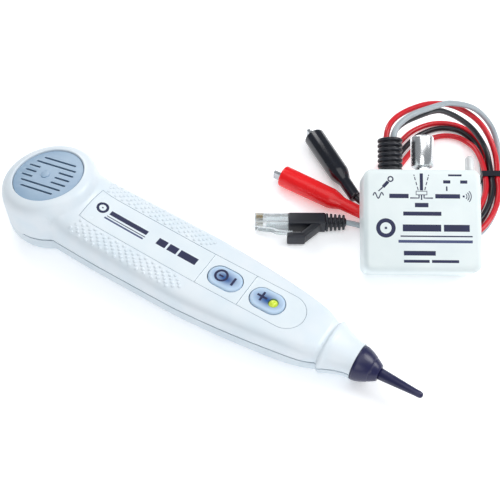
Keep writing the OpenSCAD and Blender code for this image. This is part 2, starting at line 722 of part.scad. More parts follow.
module plug_boot() {
    color("#111522") on_bench() difference() {
        union() {
            translate([-67.8, plug_y - 3.9, 0.1]) cube([20.8, 7.8, 8.6]);
            translate([0, 0, 0.6]) linear_extrude(7.6) polygon([[-68.7, 27], [-68.7, 24.2],
                [-60.5, 23.6], [-54.8, 29.6], [-50, plug_y - 3.8], [-60, plug_y - 3.8],
                [-61.5, 28]]);
            for (i = [0:4]) translate([-47.2 + 2.3 * i, plug_y, plug_z]) rotate([0, 90, 0])
                cylinder(r = 3.7 - 0.15 * i, h = 1.3);
            translate([-48, plug_y, plug_z]) rotate([0, 90, 0]) cylinder(r = 2.6, h = 12.3);
        }
        translate([-70, plug_y - 3.3 - gap, plug_z - 3.85 - gap])
            cube([7, 6.6 + 2 * gap, 7.7 + 2 * gap]);
    }
}

module plug_body() {
    color("#dfe9ec") on_bench() difference() {
        translate([-86.1, plug_y - 3.3, plug_z - 3.85]) cube([22.4, 6.6, 7.7]);
        for (i = [-1.5:1.5]) translate([-86.2, plug_y + 0.6, plug_z + 1.02 * i - 0.2])
            cube([4.6, 4, 0.4]);
        translate([-80, plug_y - 1.4, plug_z - 2.6]) cube([17, 2.8, 5.2]);
    }
}

module plug_contacts() {
    color("#c9a24a") on_bench() for (i = [-1.5:1.5])
        translate([-85.4, plug_y + 0.7, plug_z + 1.02 * i - 0.15]) cube([3.6, 2.4, 0.3]);
}

module plug_latch() {
    color("#dfe9ec") on_bench() translate([0, 0, plug_z - 1.5]) {
        translate([-84.2, 32.8]) cylinder(r = 0.6, h = 3);
        linear_extrude(3) polygon([[-84.2, 33.25], [-84.2, 32.35], [-83.4, 31.9], [-77, 31.1],
            [-74.5, 29.6], [-65.5, 28.6], [-65.5, 29.7], [-74, 30.9], [-77, 32.3], [-83, 33.1]]);
    }
}

top_shell();
bottom_shell();
battery_door();
battery_door_screw();
shell_screws();
speaker_grille();
speaker_gasket();
speaker_frame();
speaker_cone();
speaker_magnet();
name_panel();
power_panel();
volume_panel();
power_button();
volume_button();
volume_light();
keypad_membrane();
probe_circuit_board();
tactile_switches();
probe_battery();
probe_battery_snap();
tip_holder();
probe_tip();
tip_contact();
tip_spring();
generator_front_case();
generator_back_case();
generator_screws();
lead_boot();
toggle_housing();
toggle_bushing();
toggle_nut();
toggle_lever();
toggle_cap();
generator_light();
generator_circuit_board();
generator_battery();
generator_battery_snap();
red_lead();
black_lead();
grey_lead();
lead_tie();
red_clip_boot();
red_fixed_jaw();
red_moving_jaw();
red_clip_pin();
red_clip_spring();
black_clip_boot();
black_fixed_jaw();
black_moving_jaw();
black_clip_pin();
black_clip_spring();
plug_boot();
plug_body();
plug_contacts();
plug_latch();
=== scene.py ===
import math

import bmesh
import bpy
from mathutils import Matrix, Vector


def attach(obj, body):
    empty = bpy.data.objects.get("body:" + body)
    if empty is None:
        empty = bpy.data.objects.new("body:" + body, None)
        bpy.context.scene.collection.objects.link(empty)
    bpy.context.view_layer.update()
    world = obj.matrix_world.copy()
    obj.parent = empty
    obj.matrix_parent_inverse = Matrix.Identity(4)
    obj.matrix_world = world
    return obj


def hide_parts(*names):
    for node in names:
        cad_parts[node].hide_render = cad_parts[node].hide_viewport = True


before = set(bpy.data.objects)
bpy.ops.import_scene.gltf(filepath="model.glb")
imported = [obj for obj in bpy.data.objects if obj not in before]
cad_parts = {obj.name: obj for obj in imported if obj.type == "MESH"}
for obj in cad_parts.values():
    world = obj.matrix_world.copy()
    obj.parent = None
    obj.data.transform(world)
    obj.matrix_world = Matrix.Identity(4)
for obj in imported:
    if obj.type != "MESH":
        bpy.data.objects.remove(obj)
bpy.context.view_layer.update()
scene = bpy.context.scene

MM = 0.001
TO_METRES = Matrix.Diagonal((MM, MM, MM, 1))
WHOLE = Matrix.Identity(4)


# ---- camera and light ----

CAMERA_AT = Vector((263.3, -217.1, 398.0)) * MM
CAMERA_TARGET = Vector((108.6, 29.4, 12.0)) * MM


def make_camera():
    data = bpy.data.cameras.new("camera")
    data.lens = 65.5
    data.sensor_width = 36
    data.clip_start = 0.01
    camera = bpy.data.objects.new("camera", data)
    camera.location = CAMERA_AT
    camera.rotation_euler = (CAMERA_TARGET - CAMERA_AT).to_track_quat("-Z", "Y").to_euler()
    scene.collection.objects.link(camera)
    scene.camera = camera


def add_softbox(name, place, target, size, watts):
    data = bpy.data.lights.new(name, "AREA")
    data.shape = "RECTANGLE"
    data.size, data.size_y = size
    data.energy = watts
    lamp = bpy.data.objects.new(name, data)
    lamp.location = place
    lamp.rotation_euler = (Vector(target) - Vector(place)).to_track_quat("-Z", "Y").to_euler()
    scene.collection.objects.link(lamp)


make_camera()


# ---- places ----

def turn(axis, degrees):
    return Matrix.Rotation(math.radians(degrees), 4, axis)


def move(x, y, z):
    return Matrix.Translation((x, y, z))


# The generator's bench frame, and its case leaning back in it, in millimetres.
LEAN = 30
CASE_W, CASE_H, CASE_T = 61, 54, 23
EDGE_R = 3.0
CASE_DROP = EDGE_R * (math.sin(math.radians(LEAN)) + math.cos(math.radians(LEAN)) - 1)
BENCH = move(190.3, 66.3, 0) @ turn("Z", 32)
CASE = BENCH @ move(0.5, 4.5, -CASE_DROP) @ turn("Z", -0.5) @ turn("X", LEAN)
BOOT_A, CAP_A, LIGHT_A = -15.2, 2, 27
PORT_C, LIGHT_C = 12.2, 12.2
CLIP_Z = 6.3


def port(a, c, lift=0):
    """A place on the generator's upper side, Z up the slope."""
    return CASE @ move(a, CASE_H + lift, c) @ turn("X", -90)


def clip_place(x, y, angle):
    """A place along a clip, Z from its tail to its mouth."""
    return BENCH @ move(x, y, CLIP_Z) @ turn("Z", angle) @ turn("Y", 90)


RED_CLIP = clip_place(-26, 41.8, 147.5)
BLACK_CLIP = clip_place(-29.4, 53.3, 114.3)


def nose(x):
    """A place on the probe's nose, Z toward the tip."""
    return move(x, 0, 11) @ turn("Y", 90)


# ---- colours and node trees ----

def linear(hex_colour):
    """An sRGB hex colour as linear RGBA."""
    values = [int(hex_colour[i:i + 2], 16) / 255 for i in (1, 3, 5)]
    made = [v / 12.92 if v <= 0.04045 else ((v + 0.055) / 1.055) ** 2.4 for v in values]
    return (*made, 1.0)


def add_node(tree, kind, settings=None, links=None):
    """Adds a node, sets its fields and sockets, and links sockets to other nodes' outputs."""
    node = tree.nodes.new(kind)
    for key, value in (settings or {}).items():
        if isinstance(key, str) and hasattr(node, key):
            setattr(node, key, value)
        else:
            node.inputs[key].default_value = value
    for key, source in (links or {}).items():
        tree.links.new(source, node.inputs[key])
    return node


def new_material(name):
    material = bpy.data.materials.new(name)
    material.use_nodes = True
    tree = material.node_tree
    shader = tree.nodes["Principled BSDF"]
    place = add_node(tree, "ShaderNodeTexCoord").outputs["Object"]
    return material, tree, shader, place


def per_metre(millimetres):
    """A pattern's scale for features of this size."""
    return 1 / (millimetres * MM)


def tint(tree, place, colour, other, size_mm):
    """A base colour that wanders slightly toward another over patches of this size."""
    patches = add_node(tree, "ShaderNodeTexNoise", {"Scale": per_metre(size_mm), "Detail": 2.0},
                       {"Vector": place})
    ramp = add_node(tree, "ShaderNodeValToRGB", links={"Fac": patches.outputs["Fac"]})
    ramp.color_ramp.elements[0].color = linear(colour)
    ramp.color_ramp.elements[1].color = linear(other)
    ramp.color_ramp.elements[0].position = 0.35
    ramp.color_ramp.elements[1].position = 0.7
    return ramp.outputs["Color"]


def grain(tree, place, size_mm, depth_mm, detail=3.0):
    """Surface normal with a moulded or cast grain of this size and depth."""
    bumps = add_node(tree, "ShaderNodeTexNoise", {"Scale": per_metre(size_mm), "Detail": detail},
                     {"Vector": place})
    bump = add_node(tree, "ShaderNodeBump", {"Strength": 1.0, "Distance": depth_mm * MM},
                    {"Height": bumps.outputs["Fac"]})
    return bump.outputs["Normal"]


def uneven_gloss(tree, place, low, high, size_mm):
    """Roughness that varies a little, as handled surfaces do."""
    smears = add_node(tree, "ShaderNodeTexNoise", {"Scale": per_metre(size_mm), "Detail": 4.0},
                      {"Vector": place})
    span = add_node(tree, "ShaderNodeMapRange", {"To Min": low, "To Max": high},
                    {"Value": smears.outputs["Fac"]})
    return span.outputs["Result"]


def moulded(name, colour, other, gloss, grain_mm, depth_mm, ior=1.53, coat=0.0):
    """An opaque moulded polymer: nearly even colour, fine spark-eroded grain, soft gloss."""
    material, tree, shader, place = new_material(name)
    tree.links.new(tint(tree, place, colour, other, 14), shader.inputs["Base Color"])
    tree.links.new(uneven_gloss(tree, place, *gloss, 9), shader.inputs["Roughness"])
    tree.links.new(grain(tree, place, grain_mm, depth_mm), shader.inputs["Normal"])
    shader.inputs["IOR"].default_value = ior
    shader.inputs["Coat Weight"].default_value = coat
    shader.inputs["Coat Roughness"].default_value = 0.18
    return material


def metal(name, colour, other, gloss, grain_mm, depth_mm):
    """A bare or plated metal with fine surface lay."""
    material, tree, shader, place = new_material(name)
    tree.links.new(tint(tree, place, colour, other, 4), shader.inputs["Base Color"])
    tree.links.new(uneven_gloss(tree, place, *gloss, 3), shader.inputs["Roughness"])
    tree.links.new(grain(tree, place, grain_mm, depth_mm), shader.inputs["Normal"])
    shader.inputs["Metallic"].default_value = 1.0
    return material


def clear(name, colour, roughness, ior, passing=0.92):
    """A transparent polymer, slightly wavy from the mould."""
    material, tree, shader, place = new_material(name)
    shader.inputs["Base Color"].default_value = linear(colour)
    shader.inputs["Roughness"].default_value = roughness
    shader.inputs["IOR"].default_value = ior
    shader.inputs["Transmission Weight"].default_value = passing
    tree.links.new(grain(tree, place, 2.5, 0.03), shader.inputs["Normal"])
    return material


def key_silicone_painted_shade():
    """Silicone keys: cool blue, satin with a soft sheen, with painted shade darkening the middle
    of each key's finger dish and painted highlight paling its rim.
    """
    material, tree, shader, place = new_material("silicone_key_blue_painted_shade")
    split = add_node(tree, "ShaderNodeSeparateXYZ", links={"Vector": place})
    saw = add_node(tree, "ShaderNodeMath", {"operation": "PINGPONG", 1: 12.4 * MM},
                   {0: shifted(tree, split.outputs["X"], -POWER_X * MM)})
    across = add_node(tree, "ShaderNodeMath", {"operation": "ABSOLUTE"}, {0: split.outputs["Y"]})
    along = add_node(tree, "ShaderNodeMath", {"operation": "MULTIPLY", 1: 0.55},
                     {0: saw.outputs[0]})
    reach = add_node(tree, "ShaderNodeVectorMath", {"operation": "LENGTH"}, {
        0: add_node(tree, "ShaderNodeCombineXYZ", links={
            "X": along.outputs[0], "Y": across.outputs[0]}).outputs[0]})
    # Painted shade and highlight: the colour runs from dark blue at each key's middle to pale blue
    # toward its rim.
    ramp = add_node(tree, "ShaderNodeValToRGB", links={"Fac": add_node(
        tree, "ShaderNodeMath", {"operation": "MULTIPLY", 1: 1 / (6.2 * MM)},
        {0: reach.outputs["Value"]}).outputs[0]})
    ramp.color_ramp.interpolation = "EASE"
    ramp.color_ramp.elements[0].color = linear("#225394")
    ramp.color_ramp.elements[1].color = linear("#c3daf0")
    ramp.color_ramp.elements[1].position = 0.95
    tree.links.new(ramp.outputs["Color"], shader.inputs["Base Color"])
    tree.links.new(uneven_gloss(tree, place, 0.28, 0.4, 3), shader.inputs["Roughness"])
    tree.links.new(grain(tree, place, 0.3, 0.006), shader.inputs["Normal"])
    shader.inputs["IOR"].default_value = 1.42
    shader.inputs["Subsurface Weight"].default_value = 0.15
    shader.inputs["Subsurface Radius"].default_value = (0.001, 0.0015, 0.002)
    return material


def shifted(tree, value, by):
    return add_node(tree, "ShaderNodeMath", {"operation": "ADD", 1: by}, {0: value}).outputs[0]


POWER_X, VOLUME_X = 112.4, 137.2
VOLUME_LIGHT_X = VOLUME_X + 3.4

# Glossy-satin ABS of the probe: white with a cool cast; its fine grain breaks up highlights.
SHELL = moulded("abs_probe_white", "#e6eef4", "#deeaf2", (0.3, 0.4), 0.35, 0.012)
# The same ABS, a little deeper in tone as painted shade, for the lower shell and door.
BELLY = moulded("abs_probe_lower_painted_shade", "#dde7ee", "#d3e0e9", (0.34, 0.44), 0.35, 0.014)
# Polycarbonate inlay panels: smoother and a touch brighter than the shell.
PANEL = moulded("polycarbonate_panel", "#e7f0f5", "#e1ecf3", (0.22, 0.3), 0.5, 0.004)
# ABS grille plate, tinted pale blue.
GRILLE = moulded("abs_grille_blue", "#93aec6", "#88a4bf", (0.3, 0.4), 0.4, 0.01)
# Silkscreen ink: matt dark navy, a few microns thick.
INK = moulded("ink_navy", "#141a44", "#191f4c", (0.45, 0.55), 0.4, 0.002, 1.5)
# The same ink, thinned, for fine print.
FINE_INK = moulded("ink_slate", "#3c4670", "#455079", (0.45, 0.55), 0.4, 0.002, 1.5)
# Conductive polymer of the tip: dark navy, satin.
TIP = moulded("conductive_polymer_navy", "#23244e", "#1c1d42", (0.28, 0.38), 0.5, 0.01, 1.5)
# Satin ABS of the generator: pale, faintly green-blue white.
CASE_ABS = moulded("abs_generator_white", "#eaf3f3", "#e4eeef", (0.32, 0.42), 0.4, 0.012)
# Moulded PVC: black with a blue cast, soft gloss.
BLACK_PVC = moulded("pvc_black", "#0d101a", "#131724", (0.34, 0.46), 0.8, 0.01)
# The same, highly polished, for the clip's cover.
BLACK_GLOSS = moulded("pvc_black_polished", "#0c0f1a", "#121623", (0.14, 0.24), 1.5, 0.008,
                      1.53, 0.3)
# Moulded PVC in signal red.
RED_PVC = moulded("pvc_red", "#f91219", "#ee0f17", (0.2, 0.32), 0.8, 0.01, 1.5, 0.12)
# Extruded PVC lead sleeves: smooth, drawn, slightly waxy.
RED_SLEEVE = moulded("pvc_sleeve_red", "#d81b2a", "#c91626", (0.25, 0.36), 1.2, 0.012)
BLACK_SLEEVE = moulded("pvc_sleeve_black", "#0f1119", "#151822", (0.24, 0.36), 1.2, 0.012)
GREY_SLEEVE = moulded("pvc_sleeve_grey", "#aab4ba", "#9ba6ad", (0.28, 0.4), 1.2, 0.012)
# Glass-filled nylon and other dark technical mouldings.
DARK = moulded("nylon_dark", "#202329", "#2a2e35", (0.4, 0.55), 0.6, 0.02)
# Solder mask over glass laminate.
BOARD = moulded("solder_mask_green", "#1f5a3a", "#2a6d48", (0.25, 0.4), 0.5, 0.01)
# Pressed paper pulp of the speaker cone.
PAPER = moulded("paper_pulp_navy", "#141a3a", "#1b2247", (0.7, 0.85), 0.4, 0.04)
# Bright chromium plate: mirror-like, nearly neutral.
CHROME = metal("chromium_plate", "#fbfcfd", "#f6f8fa", (0.2, 0.24), 6, 0.0003)
# Zinc-plated steel: fine grain, half bright.
STEEL = metal("zinc_plated_steel", "#c3c7cb", "#aeb3b8", (0.22, 0.36), 0.3, 0.006)
# Gold flash over nickel on the contacts.
GOLD = metal("gold_flash", "#e0b964", "#d3a850", (0.16, 0.26), 0.3, 0.003)
# Clear polycarbonate of the modular plug.
PLUG_CLEAR = clear("polycarbonate_clear", "#eef4f6", 0.06, 1.58)
# Clear epoxy of the generator's light.
LIGHT_CLEAR = clear("epoxy_milky", "#f1f4f5", 0.25, 1.5, 0.45)
KEYS = key_silicone_painted_shade()


def glowing_lens():
    """Green-tinted epoxy lens of a lit indicator, glowing faintly."""
    material, tree, shader, place = new_material("epoxy_lens_green")
    tree.links.new(tint(tree, place, "#b7c93a", "#d3de5e", 1.2), shader.inputs["Base Color"])
    tree.links.new(tint(tree, place, "#b2c92c", "#d0de50", 1.2), shader.inputs["Emission Color"])
    shader.inputs["Emission Strength"].default_value = 0.4
    shader.inputs["Roughness"].default_value = 0.15
    return material


LENS = glowing_lens()


# ---- the three leads ----

# Points each lead passes through, in the generator's bench frame, in millimetres.
RED_ROUTE = [(-16.2, 60.8, 45.4), (-15.4, 65.5, 46.9), (-13.5, 70.5, 47.3), (-9.5, 76.5, 46.5),
    (-4, 82.3, 45), (2, 87.5, 43), (9.5, 93.3, 40), (17.3, 98.2, 36), (25.5, 102.2, 31),
    (33, 104.1, 26), (40, 104.3, 21), (46, 103, 16), (50.3, 99.4, 11.8), (53, 94.2, 8.7),
    (54.5, 87.5, 6.5), (54.6, 79.5, 5.3), (53.5, 71, 5.2), (52.5, 59, 5.2), (48.5, 46.5, 5.2),
    (41, 34.5, 5.2), (30, 25, 5.2), (19, 20.5, 5.2), (8, 19.5, 5.2), (-2.5, 22, 5.2),
    (-9.5, 28.5, 5.2), (-13, 38, 5.2), (-14.2, 48, 4.8), (-13, 58, 2.8), (-9, 68, 1.7),
    (-4, 77, 1.7), (1.5, 85.5, 1.7), (8, 94.5, 1.7), (16.5, 102, 1.7), (26.5, 106, 1.7),
    (35.2, 105, 1.8), (41.2, 99.5, 2.6), (44.6, 91.5, 4.4), (46.3, 81, 5.2), (46.5, 71, 5.2),
    (45.5, 61, 5.2), (41.7, 50.6, 5.2), (35.2, 40.6, 5.2), (26, 32.6, 5.2), (17.2, 27.9, 5.2),
    (8, 26.5, 5.2), (0.5, 29.5, 5.6), (-4, 36, 7), (-6.3, 44.5, 8.8), (-8.6, 53.5, 9),
    (-11.5, 62, 8.8), (-13.5, 71, 6.2), (-11.8, 81, 2.8), (-6.5, 91, 1.7), (1, 101, 1.7),
    (10, 110.5, 1.7), (22.5, 116.3, 1.7), (35, 115.5, 1.7), (44.5, 108.5, 1.7),
    (49.5, 98, 1.7), (50.8, 86, 1.7), (50, 71, 1.7), (49, 60, 1.7), (45, 48.5, 1.7),
    (38, 37.5, 1.7), (28, 28.8, 1.7), (18, 24.2, 1.7), (8, 23, 1.7), (-1, 25.2, 1.7),
    (-10, 31, 1.7), (-18, 36.4, 3.7), (-26, 41.8, 6.3)]
BLACK_ROUTE = [(-12.4, 61.3, 43.7), (-11.4, 66, 45.2), (-8.5, 70.5, 45.6), (-3.5, 75, 45.3),
    (2.5, 79.5, 44), (8, 83.8, 42.3), (13, 88.3, 39.5), (19, 92.6, 35.7), (27.7, 95.6, 29),
    (35.9, 96.6, 22), (41, 95.5, 17.5), (45, 93, 13.3), (48, 90, 9.6), (49.8, 86, 7),
    (50.3, 79.5, 5.4), (50, 71, 5.2), (49, 60, 5.2), (45, 48.5, 5.2), (38, 37.5, 5.2),
    (28, 28.8, 5.2), (18, 24.2, 5.2), (8, 23, 5.2), (-1, 25.6, 5.2), (-6.5, 31.5, 5.2),
    (-9.8, 40, 5.2), (-10.9, 50, 5.2), (-10.4, 60, 5.2), (-8.6, 70, 5.2), (-6, 79.5, 3.8),
    (-1.6, 89, 1.8), (5, 98.5, 1.7), (13.5, 107, 1.7), (25, 112.2, 1.7), (36, 111, 1.7),
    (43.2, 104.2, 1.7), (47, 94.5, 1.7), (47.3, 83, 1.7), (46.5, 71, 1.7), (45.5, 61, 1.7),
    (41.7, 50.6, 1.7), (35.2, 40.6, 1.7), (26, 32.6, 1.7), (17.2, 27.9, 1.7), (8, 26.5, 1.7),
    (-1, 29.6, 1.7), (-9, 37, 1.7), (-16.5, 43.2, 2.6), (-23.5, 48, 4.8), (-29.4, 53.3, 6.3)]
GREY_ROUTE = [(-12.6, 59.9, 47.1), (-11.6, 64, 48.4), (-9, 68.5, 49), (-4, 74, 48.8),
    (2, 79, 47.7), (10.8, 85.8, 44.7), (17, 90.8, 42), (23.2, 95.3, 39), (33.7, 101.2, 32),
    (42.3, 104.6, 25), (49.8, 105.2, 17), (54.8, 103.2, 10.4), (57.6, 98, 5.2),
    (58.4, 91.4, 2.4), (57.2, 83, 1.7), (53.5, 71, 1.7), (52.5, 59, 1.7), (48.5, 46.5, 1.7),
    (41, 34.5, 1.7), (30, 25, 1.7), (19, 20.5, 1.7), (8, 19.5, 1.7), (-3, 21.6, 1.7),
    (-13, 26.8, 1.7), (-21, 31.8, 2.4), (-28.5, 35.6, 3.6), (-35.7, 37, 4.4)]
LEAD_D = 3.2


def smooth_line(points, per=5):
    """A rounded line through points, in the row frame, in metres."""
    at = [BENCH @ Vector(p) for p in points]
    line = []
    for i in range(len(at) - 1):
        a, b, c, d = at[max(i - 1, 0)], at[i], at[i + 1], at[min(i + 2, len(at) - 1)]
        for k in range(per):
            t = k / per
            line.append((2 * b + (c - a) * t + (2 * a - 5 * b + 4 * c - d) * t ** 2
                         + (3 * b - a - 3 * c + d) * t ** 3) * 0.5)
    return [p * MM for p in line + [at[-1]]]


def make_lead(node, route, material):
    line = smooth_line(route)
    data = bpy.data.curves.new(node + "_sleeve", "CURVE")
    data.dimensions = "3D"
    data.bevel_depth = LEAD_D * MM / 2
    data.bevel_resolution = 5
    data.use_fill_caps = True
    spline = data.splines.new("POLY")
    spline.points.add(len(line) - 1)
    for point, at in zip(spline.points, line):
        point.co = (*at, 1)
    spline.use_smooth = True
    data.materials.append(material)
    lead = bpy.data.objects.new(node + "_sleeve", data)
    scene.collection.objects.link(lead)
    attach(lead, "generator")
    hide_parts(node)
    length = sum((b - a).length for a, b in zip(line, line[1:]))
    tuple(line[0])


# ---- making pieces ----

def shade(obj, sharp):
    """Smooth shading that keeps edges sharper than this many degrees crisp."""
    obj.data.shade_smooth()
    obj.data.set_sharp_from_angle(angle=math.radians(sharp))


def finish_piece(name, bm, body, materials, nodes=(), sharp=35):
    """Turns a bmesh in millimetres into a finished piece on a body."""
    bm.transform(TO_METRES)
    mesh = bpy.data.meshes.new(name)
    bm.to_mesh(mesh)
    bm.free()
    obj = bpy.data.objects.new(name, mesh)
    scene.collection.objects.link(obj)
    for material in materials:
        mesh.materials.append(material)
    shade(obj, sharp)
    if body:
        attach(obj, body)
    if nodes:
        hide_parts(*nodes)
    return obj


def bake(obj, modifiers):
    """Applies modifiers, given as (kind, settings), to an object's mesh."""
    for kind, settings in modifiers:
        modifier = obj.modifiers.new(kind.title(), kind)
        for key, value in settings.items():
            setattr(modifier, key, value)
    bpy.context.view_layer.update()
    seen = obj.evaluated_get(bpy.context.evaluated_depsgraph_get())
    mesh = bpy.data.meshes.new_from_object(seen)
    old = obj.data
    obj.modifiers.clear()
    obj.data = mesh
    bpy.data.meshes.remove(old)


def carve(obj, cutters):
    """Cuts closed meshes out of an object, then removes the cutters."""
    bake(obj, [("BOOLEAN", {"object": c, "operation": "DIFFERENCE", "solver": "EXACT"})
               for c in cutters])
    for cutter in cutters:
        bpy.data.objects.remove(cutter)


def outward(bm):
    bmesh.ops.recalc_face_normals(bm, faces=bm.faces)


def lathe(bm, profile, place=WHOLE, steps=48, material=0):
    """Spins a profile of (radius, height) points round Z and puts it at a place."""
    verts = [bm.verts.new((r, 0, z)) for r, z in profile]
    edges = [bm.edges.new(pair) for pair in zip(verts, verts[1:])]
    before = set(bm.faces)
    bmesh.ops.spin(bm, geom=verts + edges, axis=(0, 0, 1), cent=(0, 0, 0),
                   angle=2 * math.pi, steps=steps, use_merge=True)
    made = [f for f in bm.faces if f not in before]
    found = list({v for f in made for v in f.verts})
    bmesh.ops.remove_doubles(bm, verts=found, dist=0.0005)
    made = [f for f in bm.faces if f not in before]
    found = list({v for f in made for v in f.verts})
    for face in made:
        face.material_index = material
    bmesh.ops.recalc_face_normals(bm, faces=made)
    bmesh.ops.transform(bm, matrix=place, verts=found)


def arc(centre, radius, start, end, steps=6):
    """Points on an arc, angles in degrees."""
    turns = [math.radians(start + (end - start) * i / steps) for i in range(steps + 1)]
    return [(centre[0] + radius * math.cos(t), centre[1] + radius * math.sin(t)) for t in turns]


def rounded_block(bm, low, high, radius, place=WHOLE, segments=4, material=0):
    """A box with all of its edges rounded."""
    size = Vector(high) - Vector(low)
    middle = (Vector(high) + Vector(low)) / 2
    made = bmesh.ops.create_cube(bm, size=1, matrix=place @ Matrix.Translation(middle)
                                 @ Matrix.Diagonal((*size, 1)))["verts"]
    edges = list({e for v in made for e in v.link_edges})
    faces = {f for v in made for f in v.link_faces}
    if radius:
        new = bmesh.ops.bevel(bm, geom=edges, offset=radius, segments=segments, profile=0.5,
                              affect="EDGES", material=-1)
        faces = set(new["faces"]) | {f for f in faces if f.is_valid}
    for face in faces:
        face.material_index = material


def stroke(bm, points, width, place, closed=False, thick=0.07, material=0):
    """A printed line of this width through flat points, as a low rounded ribbon."""
    data = bpy.data.curves.new("stroke", "CURVE")
    data.dimensions = "3D"
    data.bevel_depth = width / 2
    data.bevel_resolution = 2
    data.use_fill_caps = True
    spline = data.splines.new("POLY")
    spline.points.add(len(points) - 1)
    spline.use_cyclic_u = closed
    for point, at in zip(spline.points, points):
        point.co = (at[0], at[1], 0, 1)
    holder = bpy.data.objects.new("stroke", data)
    mesh = bpy.data.meshes.new_from_object(holder)
    flat = place @ Matrix.Diagonal((1, 1, thick / width, 1))
    mesh.transform(flat)
    ribbon = bmesh.new()
    ribbon.from_mesh(mesh)
    bmesh.ops.remove_doubles(ribbon, verts=ribbon.verts, dist=0.0001)
    outward(ribbon)
    for face in ribbon.faces:
        face.material_index = material
    ribbon.to_mesh(mesh)
    ribbon.free()
    bm.from_mesh(mesh)
    bpy.data.objects.remove(holder)
    bpy.data.curves.remove(data)
    bpy.data.meshes.remove(mesh)


def ring_points(centre, radius, count=40, start=0, end=360):
    whole = abs(end - start) >= 360
    steps = count if whole else count - 1
    turns = [math.radians(start + (end - start) * i / steps) for i in range(count)]
    return [(centre[0] + radius * math.cos(t), centre[1] + radius * math.sin(t)) for t in turns]


def wave_points(x0, x1, middle, height, periods, count=40):
    return [(x0 + (x1 - x0) * i / count,
             middle + height * math.sin(2 * math.pi * periods * i / count))
            for i in range(count + 1)]


# ---- the probe's surface, in millimetres ----

SEAM = 12.0
HEAD_R = 26.5
GRILLE_R = 19.35
RIM_Z = 36.0
RIM_LEAN = 8.6           # degrees the head's rim and grille lean back
RIM_SLOPE = math.tan(math.radians(RIM_LEAN))
NOSE_END = 188.9
SPLIT_X = 34.0           # the round patch of the head meets the long patch of the grip here
OUTLINE = [(-30, 20.5), (0, 20.5), (18, 21.5), (50, 22.5), (92, 22.7), (110, 21.8), (130, 20),
           (150, 17.5), (164, 15.2), (170.5, 12.9), (171.6, 12.3), (172.4, 12.5), (173.2, 14.0),
           (174.0, 14.5), (175.0, 14.3), (176.2, 13.4), (NOSE_END, 9.35)]
TOP_LINE = [(-30, 28.9), (20, 28.4), (60, 26.2), (100, 24.0), (160, 22.9), (170, 21.7),
            (171.6, 20.9), (172.4, 21.2), (173.2, 22.9), (174.0, 23.6), (175.0, 23.5),
            (176.2, 22.8), (NOSE_END, 20.2)]
BELLY_LINE = [(-30, 0), (150, 0), (170, 0.9), (171.6, 1.2), (172.4, 1.0), (173.2, 0.25),
              (174.0, 0.05), (175.0, 0.1), (176.2, 0.5), (NOSE_END, 2.0)]
NAME_PANEL = (28.4, 99.9)
POWER_PANEL = (100.3, 125.0)
VOLUME_PANEL = (125.4, 158.0)
PANEL_HALF = 10.0
PANEL_GAP = 0.28         # round the panels, in the bed they lie in


def along(points, x):
    """A smooth curve through (x, value) points."""
    i = max(0, min(len(points) - 2, sum(1 for p in points if p[0] <= x) - 1))
    p0, p1 = points[i], points[i + 1]
    before = points[max(i - 1, 0)]
    after = points[min(i + 2, len(points) - 1)]
    span = p1[0] - p0[0]
    t = (x - p0[0]) / span
    m0 = flat_slope(before, p0, p1) * span
    m1 = flat_slope(p0, p1, after) * span
    return ((2 * t ** 3 - 3 * t ** 2 + 1) * p0[1] + (t ** 3 - 2 * t ** 2 + t) * m0
            + (3 * t ** 2 - 2 * t ** 3) * p1[1] + (t ** 3 - t ** 2) * m1)


def flat_slope(a, b, c):
    """The slope at b that keeps a curve through a, b and c from overshooting."""
    left = (b[1] - a[1]) / (b[0] - a[0]) if b[0] > a[0] else 0
    right = (c[1] - b[1]) / (c[0] - b[0]) if c[0] > b[0] else 0
    if left * right <= 0:
        return 0
    return 2 * left * right / (left + right)


def half_width(x):
    return along(OUTLINE, x)


def ease(low, high, x):
    t = max(0.0, min(1.0, (x - low) / (high - low)))
    return t * t * (3 - 2 * t)


def swell(ratio, power):
    """Height of a super-ellipse at this fraction of its half width."""
    return max(0.0, 1 - min(1.0, abs(ratio)) ** power) ** (1 / power)


def blend_over(a, b, width):
    """The higher of two heights, with a fillet where they cross."""
    near = max(width - abs(a - b), 0) / width
    return max(a, b) + near * near * width / 4


def top_height(x, y):
    """The upper surface of the probe."""
    reach = math.hypot(x, y)
    rim = RIM_Z + RIM_SLOPE * x
    head = SEAM + (rim - SEAM) * swell(reach / HEAD_R, 7)
    if x <= 0:
        return head
    power = 5.0 - 1.4 * ease(150, 171.5, x) - 1.4 * ease(171.6, 173.2, x)
    skirt = 7.5 * math.exp(-(max(reach - 23.0, 0) / 5.5) ** 1.3)
    grip = SEAM + (along(TOP_LINE, x) + skirt - SEAM) * swell(y / half_width(x), power)
    return blend_over(head, grip, 2.5)


def belly_height(x, y):
    """The lower surface of the probe."""
    head = SEAM * (1 - swell(math.hypot(x, y) / HEAD_R, 5))
    if x <= 0:
        return head
    power = 4.6 - 1.2 * ease(150, 171.5, x) - 1.2 * ease(171.6, 173.2, x)
    depth = SEAM - along(BELLY_LINE, x)
    grip = SEAM - depth * swell(y / half_width(x), power)
    return max(0.0, -blend_over(-head, -grip, 1.5))


def edge_reach(turn):
    """How far the round patch reaches from the head's centre, in this direction."""
    c, s = math.cos(turn), abs(math.sin(turn))
    reach = HEAD_R
    if c > 0:
        strip = SPLIT_X / c
        if s > 0.01:
            side = half_width(SPLIT_X) / s
            for _ in range(12):
                side = half_width(min(side * c, SPLIT_X)) / s
            strip = min(strip, side)
        reach = max(reach, strip)
    return reach


CROSS = [math.copysign(1 - (1 - abs(k) / 30) ** 2.3, k) for k in range(-30, 31)]


def patch_turns():
    """Directions of the round patch: through the long patch's first row, then round the back."""
    wide = half_width(SPLIT_X)
    front = [math.atan2(c * wide, SPLIT_X) for c in CROSS]
    rest = [front[-1] + (2 * math.pi - 2 * front[-1]) * k / 150 for k in range(1, 151)]
    return front + rest


